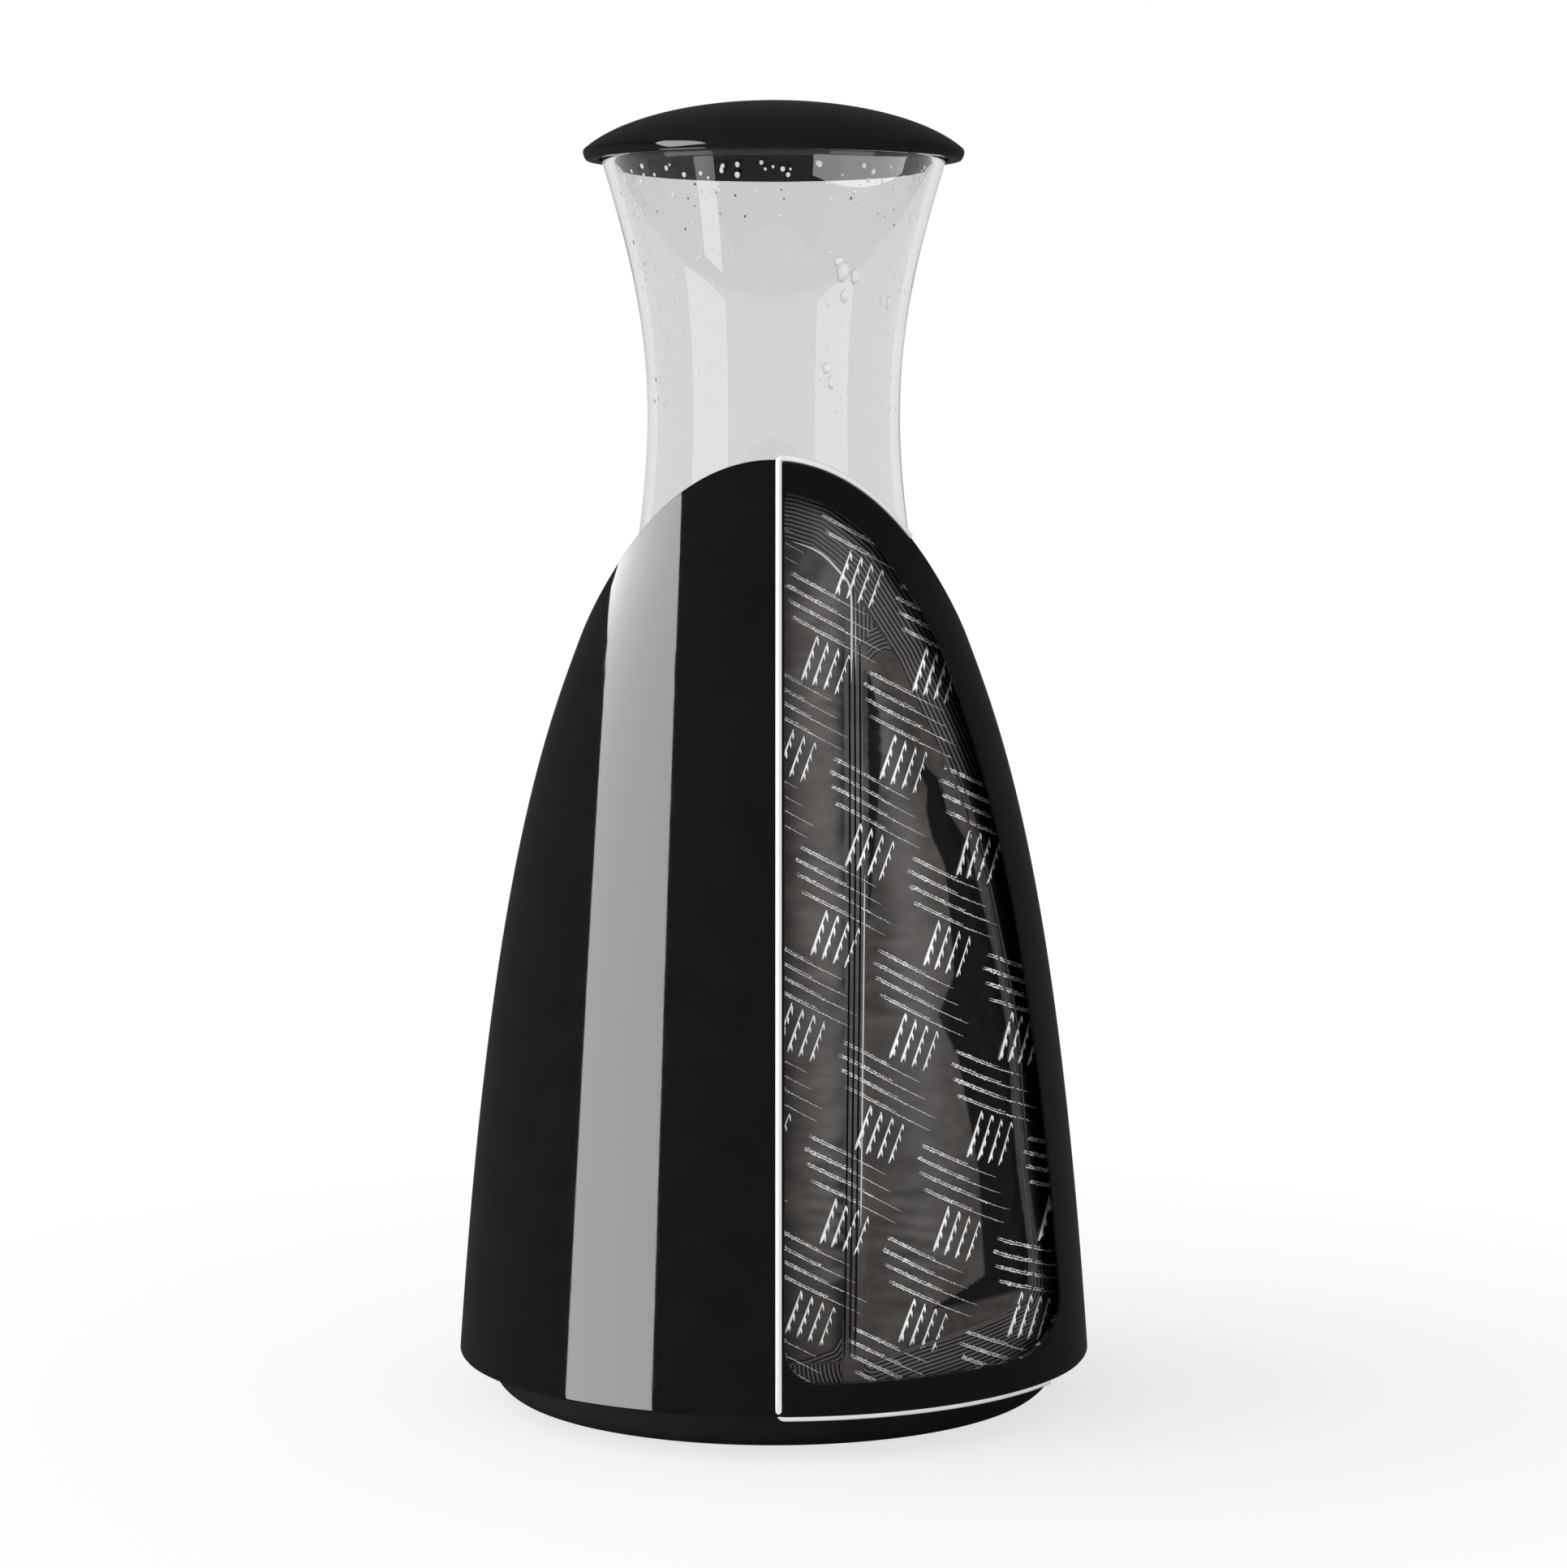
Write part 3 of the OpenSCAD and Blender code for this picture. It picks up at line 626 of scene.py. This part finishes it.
def pattern(name, chambers, turn, half_width, top, seed):
    rng = random.Random(seed)
    marks, strokes = [], []
    for j in range(-6, 7):
        for i in range(-6, 8):
            x = PATTERN_START[0] + i * STEP_ACROSS[0] + j * STEP_DOWN[0]
            z = PATTERN_START[1] + i * STEP_ACROSS[1] + j * STEP_DOWN[1]
            z -= TOP_DROP * max(0, z - PATTERN_START[1])
            if abs(x) < half_width + 18 and 0 < z < top + 16:
                pattern_cell(x, z, rng, marks, strokes)

    def on_film(x, z):
        limit = pack_outer(z) * math.sin(math.radians(80))
        edge = pack_tops(turn + np.arcsin(np.clip(x / pack_outer(z), -0.98, 0.98)))
        return (np.abs(x) < limit) & (z > PACK_Z + 1) & (z < edge - 0.8)

    m = np.array(marks)
    m = m[on_film(m[..., 0], m[..., 1]).all(1)]
    points = film_place(m[..., 0], m[..., 1], m[..., 2] + 0.05, chambers, turn).reshape(-1, 3)
    faces = []
    for k in range(len(m)):
        b = 5 * k
        faces += [[b, b + 1, b + 4], [b + 1, b + 2, b + 4], [b + 2, b + 3, b + 4], [b + 3, b, b + 4],
                  [b + 3, b + 2, b + 1, b]]
    pieces = [(points, faces)]
    for group in strokes:
        if all(on_film(path[:, 0], path[:, 1]).all() for path, _ in group):
            for path, sizes in group:
                raised = film_place(path[:, 0], path[:, 1], 0.4 * sizes, chambers, turn)
                pieces.append(tube(raised, sizes, 6))
    return new_object(name, *joined(pieces), frost_white, "base", "pouch_film")


def resampled(path, step):
    path = np.asarray(path, float)
    run = np.concatenate([[0], np.cumsum(np.linalg.norm(np.diff(path, axis=0), axis=1))])
    at = np.linspace(0, run[-1], max(2, int(run[-1] / step)) + 1)
    return np.stack([np.interp(at, run, path[:, k]) for k in range(path.shape[1])], 1)


def rounded(path, times=3):
    """Softens a path's corners by cutting them."""
    path = np.asarray(path, float)
    for _ in range(times):
        first = 0.75 * path[:-1] + 0.25 * path[1:]
        second = 0.25 * path[:-1] + 0.75 * path[1:]
        middle = np.stack([first, second], 1).reshape(-1, path.shape[1])
        path = np.concatenate([path[:1], middle, path[-1:]])
    return path


def film_bead(path, radius, sink=0.4):
    """A thin raised line on the front film, from front-view places, thinner towards its ends."""
    flat = resampled(rounded(path), 1.2)
    points = film_place(flat[:, 0], flat[:, 1], radius * sink)
    taper = np.minimum(1, 0.25 + 0.15 * np.minimum(np.arange(len(flat)), np.arange(len(flat))[::-1]))
    return tube(points, radius * taper, 6)


def weld_lines():
    """Both sides: the raised double line round the side chamber in painted highlight grey, the straight
    seam's ribs in painted shade, and painted glints.
    """
    soft, dark, bright = [], [], []
    heights = np.array((172, 123, 80, 48, 20))
    for side in (1, -1):
        mirror = np.array([side, 1])
        # Grey beads on the raised double line, lighter than the film: a painted highlight
        soft.append(film_bead(ridge[1:] * mirror, 0.4, 0.0))
        outer = ridge[1:8] + np.array((1.7, 0))
        soft.append(film_bead(outer * mirror, 0.22))
        # Black beads on the straight seam's ribs: a painted shade
        for k in range(3):
            x = CHAMBER_W + 0.2 + 1.15 * k
            dark.append(film_bead(np.stack([x - seam_lean(heights), heights], 1) * mirror, 0.2))
        # White beads from here on are painted glints: down the seam's edge and along the front chamber's top
        # edge
        low = heights[1:4]
        bright.append(film_bead(np.stack([CHAMBER_W + 3.35 - seam_lean(low), low], 1) * mirror, 0.17))
        curve = [(4, 194.6), (8.3, 193.2), (11.3, 191.4), (14.7, 187.6), (17, 185), (17.1, 176),
                 (16.9, 164)]
        bright.append(film_bead(np.array(curve) * mirror, 0.3))
        bright.append(film_bead(np.array([(17.9, 180), (17.9, 163)]) * mirror, 0.17))
    # Grey bead colour is a painted highlight; black bead colour is a painted shade
    grey = moulded("ridge_painted_highlight", (0.115, 0.105, 0.1), (0.165, 0.152, 0.146), (0.3, 0.45), 1.0, 0.02)
    black = moulded("seam_painted_shade", (0.004, 0.004, 0.004), (0.007, 0.0065, 0.006), (0.6, 0.75), 1.0, 0.02,
                    Specular_IOR_Level=0.15)
    new_object("weld_lines", *joined(soft), grey, "base", "pouch_film")
    new_object("seam_lines", *joined(dark), black, "base", "pouch_film")
    new_object("weld_glints", *joined(bright), trim_and_glint_white, "base", "pouch_film")


# Bell cover with its oblique mouth and section window

# From this height up the cover's shading keeps turning upwards, by this much with each millimetre
STEEP_Z, STEEP_RATE = 172.0, 0.0075


def cut_heights(t, inset):
    """Height where the oblique cut meets the cover's outer or inner side at each azimuth."""
    z = np.full_like(t, 110.0)
    for _ in range(60):
        z = (z + TIP_Z - math.tan(CUT) * (TIP_R - (cover_at(z) - inset) * np.cos(t))) / 2
    return z


def window_outline():
    sill = RIM_Z + WINDOW_SILL
    z = sill + (TIP_Z - sill) * np.sin(np.linspace(0, math.pi / 2, 81))
    y = np.maximum(0, TIP_R - (TIP_Z - z) / math.tan(CUT))
    outline = np.stack([np.sqrt(np.maximum(0, cover_at(z) ** 2 - y * y)), z], 1)
    border = outline + WINDOW_BORDER * left_normals(outline)
    border = border[(border[:, 0] > WINDOW_LEFT + 1) & (border[:, 1] > sill + WINDOW_CORNER)]
    notch = arc((WINDOW_LEFT + WINDOW_NOTCH, sill + WINDOW_NOTCH), WINDOW_NOTCH, 180, 270)
    corner = arc((border[0, 0] - WINDOW_CORNER, sill + WINDOW_CORNER), WINDOW_CORNER, 270, 360)
    return np.concatenate([notch, corner, border, [(WINDOW_LEFT, TIP_Z - WINDOW_BORDER)]])


def window_side(x, y, z, outline):
    """Distance from the section window's outline: negative in the window, positive on the cover."""
    ring = np.concatenate([outline, outline[:1]])
    d = line_distance(x, z, ring)
    return np.where(inside_path(x, z, outline) & (y < 0), -d, np.where(y < 0, d, 9.0))


def clipped_grid(columns, rows, side):
    """Faces of a closed grid where side is positive. Each edge that crosses the outline gets one point."""
    faces, cuts = [], {}
    for j in range(rows):
        for i in range(columns):
            k = (i + 1) % columns
            ring = [j * columns + i, j * columns + k, (j + 1) * columns + k, (j + 1) * columns + i]
            kept = []
            for a, b in zip(ring, ring[1:] + ring[:1]):
                if side[a] > 0:
                    kept.append(a)
                if (side[a] > 0) != (side[b] > 0):
                    kept.append(cuts.setdefault((min(a, b), max(a, b)), len(side) + len(cuts)))
            if len(kept) > 2:
                faces.append(kept)
    return faces, cuts


def cover_normals(t, z):
    """Shading normals. Near the tip they keep turning upwards, so that reflections run straight over it."""
    held = np.minimum(z, STEEP_Z)
    slope = cover_at(held - 0.5) - cover_at(held + 0.5) + STEEP_RATE * (z - held)
    n = np.stack([np.sin(t), -np.cos(t), slope], -1)
    return n / np.linalg.norm(n, axis=-1)[:, None]


def make_cover():
    columns, rows = 288, 150
    turns = np.arange(columns) * 2 * math.pi / columns - math.pi
    tops = cut_heights(turns, 0)
    t = np.tile(turns, rows + 1)
    v = np.repeat(np.linspace(0, 1, rows + 1), columns)
    z = RIM_Z + (np.tile(tops, rows + 1) - RIM_Z) * v
    outline = window_outline()
    r = cover_at(z)
    side = window_side(r * np.sin(t), -r * np.cos(t), z, outline)
    faces, cuts = clipped_grid(columns, rows, side)
    ends = np.array(list(cuts))
    share = side[ends[:, 0]] / (side[ends[:, 0]] - side[ends[:, 1]])
    t = np.concatenate([t, t[ends[:, 0]] + share * (t[ends[:, 1]] - t[ends[:, 0]])])
    z = np.concatenate([z, z[ends[:, 0]] + share * (z[ends[:, 1]] - z[ends[:, 0]])])

    r = cover_at(z)
    x = r * np.sin(t)
    spare = np.clip((r - np.abs(x) - COVER_WALL) / 3.6, 0, 1) * (np.cos(t) > 0)
    flat = np.arcsin(np.clip(x / (r - COVER_WALL), -1, 1))
    t_in = np.where(spare > 0, t + spare * (flat - t), t)
    fine = np.linspace(-math.pi, math.pi, 721)
    top_in = np.interp(t_in, fine, cut_heights(fine, COVER_WALL))
    top_out = np.interp(t, fine, cut_heights(fine, 0))
    z_in = z + (top_in - top_out) * np.clip(1 - (top_out - z) / 5, 0, 1) ** 2
    outer, inner = place(r, t, z), place(cover_at(z_in) - COVER_WALL, t_in, z_in)
    n_out, n_in = cover_normals(t, z), -cover_normals(t_in, z_in)

    count = {}
    for face in faces:
        for a, b in zip(face, face[1:] + face[:1]):
            key = (min(a, b), max(a, b))
            count.setdefault(key, []).append((a, b))
    borders = [pairs[0] for pairs in count.values() if len(pairs) == 1]

    grid = columns * (rows + 1)
    lip = np.array([0, math.sin(CUT), math.cos(CUT)])

    def edge_way(i):
        """Way that the wall's edge faces at a border point."""
        if i >= grid:
            d = 0.05
            near_x = outer[i, 0] + np.array([d, -d, 0, 0])
            near_z = z[i] + np.array([0, 0, d, -d])
            at = window_side(near_x, np.full(4, -1.0), near_z, outline)
            way = np.array([at[1] - at[0], 0, at[3] - at[2]])
            return way / np.linalg.norm(way)
        return lip if i >= columns else np.array([0, 0, -1.0])

    points = np.concatenate([outer, inner]).tolist()
    normals = np.concatenate([n_out, n_in]).tolist()
    bend = 0.45
    angles = np.radians((30, 60, 90))
    strips = {}

    def strip(i):
        """Points from the outer to the inner side round the wall's edge."""
        if i not in strips:
            way, a, b = edge_way(i), outer[i], inner[i]
            across = (b - a) / np.linalg.norm(b - a)
            made = [i]
            for corner, n, sign, turns_at in ((a, n_out[i], 1, angles), (b, n_in[i], -1, angles[::-1])):
                for angle in turns_at:
                    inset = bend * (1 - math.cos(angle)) if angle < 1.5 else bend
                    made.append(len(points))
                    points.append((corner + sign * across * inset + way * bend * math.sin(angle)).tolist())
                    facing = n * math.cos(angle) + way * math.sin(angle)
                    normals.append((facing / np.linalg.norm(facing)).tolist())
            strips[i] = made + [i + len(outer)]
        return strips[i]

    all_faces = list(faces) + [[i + len(outer) for i in face[::-1]] for face in faces]
    for a, b in borders:
        first, second = strip(a), strip(b)
        for k in range(len(first) - 1):
            all_faces.append([first[k], first[k + 1], second[k + 1], second[k]])
    used = sorted({i for face in all_faces for i in face})
    new_index = {old: i for i, old in enumerate(used)}
    all_faces = [[new_index[i] for i in face] for face in all_faces]
    points = np.array(points)[used]
    normals = np.array(normals)[used]
    loops = [normals[i].tolist() for face in all_faces for i in face]
    cover = new_object("bell_cover", points, all_faces, gloss_black, "cover", "gloss_black", loops)
    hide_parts("cover")
    edge = 0.3
    ledge_top = LEDGE_Z + LEDGE_T
    ledge = np.concatenate([arc((LEDGE_R + edge, LEDGE_Z + edge), edge, 180, 270, 4),
                            [(70.4, LEDGE_Z), (70.3, ledge_top)],
                            arc((LEDGE_R + edge, ledge_top - edge), edge, 90, 180, 4)])
    lathe("cover_ledge", ledge, gloss_black, "cover", "gloss_black")
    return cover


def section_bead():
    """The white line round the section: up the front, along the mouth and along the rim."""
    radius, thin, x_line = 0.68, 0.08, 1.15
    rim_end, mouth_end = 61.0, 30.6
    rim_x = np.linspace(rim_end, x_line + 0.8, 60)
    rim_r = COVER_R - radius - 0.1
    along_rim = np.stack([rim_x, -np.sqrt(rim_r ** 2 - rim_x ** 2), np.full(60, RIM_Z - 0.75)], 1)
    z = np.linspace(RIM_Z + 0.3, TIP_Z + 0.1, 160)
    room = 0.9 * (COVER_R - cover_at(z))
    up_depth = np.clip(room, thin, radius)
    up_r = cover_at(z) + np.minimum(0.25, room - up_depth)
    up_front = np.stack([np.full(160, x_line), -np.sqrt(up_r ** 2 - x_line ** 2), z], 1)
    t = np.linspace(0.055, 1.05, 60)
    top = cut_heights(t, 0)
    along_mouth = place(cover_at(top) - 0.35, t, top + 0.55)
    along_mouth = along_mouth[along_mouth[:, 0] < mouth_end]
    path = np.concatenate([along_rim, up_front, along_mouth])
    depth = np.concatenate([np.full(60, radius), up_depth, np.full(len(along_mouth), radius)])
    path = rounded(resampled(np.column_stack([path, depth]), 1.0), 1)
    sizes = np.full(len(path), radius)
    sizes[0] *= 0.3
    sizes[-1] *= 0.3
    points, faces = tube(path[:, :3], sizes, 12, np.minimum(path[:, 3], sizes))
    return new_object("section_bead", points, faces, trim_and_glint_white, "cover", "gloss_black")


# Lid and boot

def dome(r, inset=0.0):
    rise = np.sqrt(np.maximum(0, 1 - (r / (DOME_R - inset)) ** 2))
    return LID_WIDE_Z + DOME_H - DOME_HALF + (DOME_HALF - inset) * rise


def make_lid():
    r = (LID_R - 0.7) * np.sin(np.linspace(0, math.pi / 2, 64))
    outer = np.stack([r, dome(r)], 1)
    edge = bezier(outer[-1], (LID_R - 0.05, LID_WIDE_Z + 0.15), (LID_R, LID_WIDE_Z - 0.5),
                  (LID_R - 0.55, LID_UNDER_Z + 0.5), 10)
    foot = arc((LID_R - 1.1, LID_UNDER_Z + 0.4), 0.4, 0, -90, 5)
    seat = [(39.6, LID_UNDER_Z), (39.4, LID_UNDER_Z + 0.2), (39.4, LID_SEAT_Z), (33.3, LID_SEAT_Z),
            (33.3, 283.6), (30.3, 283.6)]
    roof_r = np.linspace(30.3, 0, 30)
    roof = np.stack([roof_r, dome(roof_r, 2.2)], 1)
    profile = np.concatenate([outer, edge[1:], foot, seat, roof])
    lid = lathe("lid_dome", profile, lid_black, "lid", "gloss_black", 224, 40)
    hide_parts("lid_cap")
    return lid


def make_boot():
    side = bezier((58.5, 0), (63, 0.4), (65.4, 5.1), (66, 10.2), 24)
    toe = arc((58.2, 0.6), 0.6, 250, 285, 4) * (1, 0)
    recess = bezier((42.3, 1.4), (43, 1.3), (43.2, 0.1), (44, 0), 6)
    rim = arc((65.35, 9.6), 0.6, 5, 90, 6)
    inside = [(63.6, 10.2), (63.6, 5.4), (61.6, 3.4), (0, 3.4)]
    profile = np.concatenate([[(0, 1.4)], recess, toe, side[1:-1], rim, inside])
    boot = lathe("rubber_boot", profile, boot_rubber, "base", "boot_rubber", 224, 40)
    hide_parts("base_boot")
    return boot


def dress_nodes():
    dressed = {"base_cup": inner_black, "glass_rest": rest_silicone, "lid_plug": plug_plum,
               "lid_seal": seal_plum}
    for name, material in dressed.items():
        mesh = nodes[name].data
        for i in range(max(1, len(mesh.materials))):
            if i < len(mesh.materials):
                mesh.materials[i] = material
            else:
                mesh.materials.append(material)


# Stage: white ground, soft boxes and camera

CAMERA = np.array([2.2, -938.4, 221.4])
# The cover mirrors the key panel to the camera as one upright strip. Each of its two straight edges:
# its place across at the height 0, how far it leans inwards with each millimetre of height, and its top.
STRIP_LOW, STRIP_FRONT, STRIP_BACK = 14, (-26.4, 0.0304, 205), (-45.6, 0.0519, 172)
KEY_X, KEY_FOOT, KEY_SPLIT, KEY_RADIANCE = -800, -300, -250, 4.9
KEY_CORNERS = [(900, 500), (900, 620)]


def make_floor():
    m = bpy.data.materials.new("floor_white")
    m.use_nodes = True
    links, made = m.node_tree.links, m.node_tree.nodes
    made.remove(made["Principled BSDF"])
    matte = node(m, "BsdfDiffuse", {"Color": (0.9, 0.9, 0.9, 1)})
    path = node(m, "LightPath").outputs
    straight = ranged(m, path["Glossy Depth"], 1.0, 0.6, 0, 1)
    lit = node(m, "Emission", {"Color": WHITE, "Strength": straight})
    bounced = math_node(m, "MAXIMUM", path["Is Glossy Ray"], path["Is Transmission Ray"])
    seen = math_node(m, "MAXIMUM", path["Is Camera Ray"], bounced)
    place_at = node(m, "TexCoord").outputs["Object"]
    far = node(m, "VectorMath", {0: place_at}, operation="LENGTH").outputs["Value"]
    fade = math_node(m, "MULTIPLY", seen, ranged(m, far, 0.72, 1.0, 0.08, 0.3))
    mix = node(m, "MixShader", {0: fade, 1: matte.outputs[0], 2: lit.outputs[0]})
    links.new(mix.outputs[0], made["Material Output"].inputs["Surface"])
    steps = 96
    a = np.arange(steps) * 2 * math.pi / steps
    ring = np.stack([np.cos(a), np.sin(a), np.full(steps, -0.0004)], 1) * (900, 900, 1000)
    floor = new_object("floor", ring, [list(range(steps))], m, None, None)
    floor.visible_glossy = False


def make_world():
    world = bpy.data.worlds.new("studio")
    bpy.context.scene.world = world
    world.use_nodes = True
    back = world.node_tree.nodes["Background"]
    path = node(world, "LightPath").outputs
    seen = math_node(world, "MAXIMUM", path["Is Camera Ray"], path["Is Transmission Ray"])
    around = ranged(world, path["Is Glossy Ray"], 0.5, 0.05, 0, 1)
    strength = node(world, "Mix", {"Factor": seen, 2: around, 3: 1.0}, data_type="FLOAT")
    back.inputs["Color"].default_value = WHITE
    world.node_tree.links.new(strength.outputs[0], back.inputs["Strength"])


def lights_only(light, pieces, state="INCLUDE"):
    """Lets a light reach only these pieces, or with EXCLUDE all but these."""
    receivers = bpy.data.collections.new(light.name + "_receivers")
    for piece in pieces:
        receivers.objects.link(piece)
    for entry in receivers.collection_objects:
        entry.light_linking.link_state = state
    light.light_linking.receiver_collection = receivers
    light.visible_camera = False
    light.visible_transmission = False


def soft_box(name, azimuth, distance, width, low, high, radiance, pieces, roll=0.0):
    """A soft box that faces the axis, rolled by some degrees. Azimuths run from the camera to the right."""
    light = bpy.data.lights.new(name, "AREA")
    light.shape = "RECTANGLE"
    light.size, light.size_y = width, high - low
    light.energy = radiance * math.pi * width * (high - low)
    obj = bpy.data.objects.new(name, light)
    a = math.radians(azimuth)
    obj.location = (distance * math.sin(a), -distance * math.cos(a), (low + high) / 2)
    obj.rotation_euler = (math.radians(90), math.radians(roll), a)
    bpy.context.scene.collection.objects.link(obj)
    lights_only(obj, pieces)


def panel_edge(across, lean, top):
    """Where the key panel must end, as (y, z) points, to give the strip on the cover this straight edge."""
    z = np.linspace(STRIP_LOW, top, 24)
    r = cover_at(z)
    t = np.arcsin((across + lean * z) / r)
    at = place(r, t, z)
    sight = at - CAMERA
    sight /= np.linalg.norm(sight, axis=1)[:, None]
    facing = cover_normals(t, z)
    mirrored = sight - 2 * (sight * facing).sum(1)[:, None] * facing
    reach = (KEY_X - at[:, 0]) / mirrored[:, 0]
    return (at + reach[:, None] * mirrored)[:, 1:]


def key_panel(name, outline, without):
    """A part of the large key light on the left, from its outline of (y, z) points."""
    points = [(KEY_X, y, z) for y, z in outline]
    m = bpy.data.materials.new(name)
    m.use_nodes = True
    m.node_tree.nodes.remove(m.node_tree.nodes["Principled BSDF"])
    lit = node(m, "Emission", {"Color": WHITE, "Strength": KEY_RADIANCE})
    m.node_tree.links.new(lit.outputs[0], m.node_tree.nodes["Material Output"].inputs["Surface"])
    panel = new_object(name, points, [list(range(len(points)))], m, None, None)
    panel.visible_shadow = False
    lights_only(panel, without, "EXCLUDE")


def make_key(glass_only, lid):
    """The key light in two parts, because the lid has only the front one."""
    front, back = panel_edge(*STRIP_FRONT), panel_edge(*STRIP_BACK)
    near, far = front[front[:, 0] < KEY_SPLIT], front[front[:, 0] > KEY_SPLIT]
    split_z = np.interp(KEY_SPLIT, (near[-1, 0], far[0, 0]), (near[-1, 1], far[0, 1]))
    foot, split = (KEY_SPLIT, KEY_FOOT), (KEY_SPLIT, split_z)
    key_front = [foot, split, *near[::-1], (near[0, 0], KEY_FOOT)]
    key_back = [foot, (back[0, 0], KEY_FOOT), *back, *KEY_CORNERS, *far[::-1], split]
    key_panel("key_front", key_front, glass_only)
    key_panel("key_back", key_back, glass_only + [lid])


def make_camera():
    data = bpy.data.cameras.new("camera")
    data.lens, data.sensor_width, data.sensor_fit = 95.08, 36, "HORIZONTAL"
    camera = bpy.data.objects.new("camera", data)
    camera.location = CAMERA * MM
    camera.rotation_euler = (math.radians(84.95), 0, 0)
    bpy.context.scene.collection.objects.link(camera)
    bpy.context.scene.camera = camera


carafe = make_carafe()
drops = water_drops()
film = film_material()
# The front pack's right half shows in the section window, so its grid is finer
front_turns = np.concatenate([np.linspace(-89, 0, 61), np.linspace(0, 89, 241)[1:]])
front = make_pack("ice_pack_front", "ice_core_front", front_turns, 330, front_chambers, front_paint,
                  0.0, film)
back_turns = np.linspace(93, 267, 142)
back = make_pack("ice_pack_back", "ice_core_back", back_turns, 66, back_chambers, back_paint,
                 math.pi, film)
front_pattern = pattern("film_pattern_front", front_chambers, 0.0, half_width=66, top=212, seed=3)
back_pattern = pattern("film_pattern_back", back_chambers, math.pi, half_width=66, top=88, seed=4)
weld_lines()
cover = make_cover()
bead = section_bead()
lid = make_lid()
boot = make_boot()
dress_nodes()

make_floor()
make_world()
make_camera()
glass_only = [carafe, drops]
films = [front, back, front_pattern, back_pattern]
make_key(glass_only, lid)
# Each soft box: azimuth in degrees; distance, width, lower and upper end in metres; radiance; lit pieces
soft_box("fill_right", 50, 0.9, 0.6, 0.0, 1.1, 4.0, films + [nodes["lid_plug"], nodes["lid_seal"]])
soft_box("fill_bead", 50, 0.9, 0.6, 0.0, 1.1, 1.6, [bead])
soft_box("strip_back", 180, 0.9, 0.16, -0.3, 1.2, 3.0, [cover, boot, back, back_pattern])
soft_box("glass_left", -58.4, 0.7, 0.45, 0.04, 1.0, 2.6, glass_only)
soft_box("glass_right", 53, 0.7, 0.4, 0.04, 1.0, 2.4, glass_only)
soft_box("flare_left", -48, 0.33, 0.08, 0.105, 0.145, 4.0, glass_only)
soft_box("flare_right", 48, 0.06, 0.064, 0.2597, 0.2697, 6.0, [carafe], -5.4)
for step in range(6):
    soft_box("card_%d" % step, 60 * step, 0.68, 0.79, -0.06, 0.65, 0.6, glass_only)

bpy.context.scene.view_settings.view_transform = "Standard"
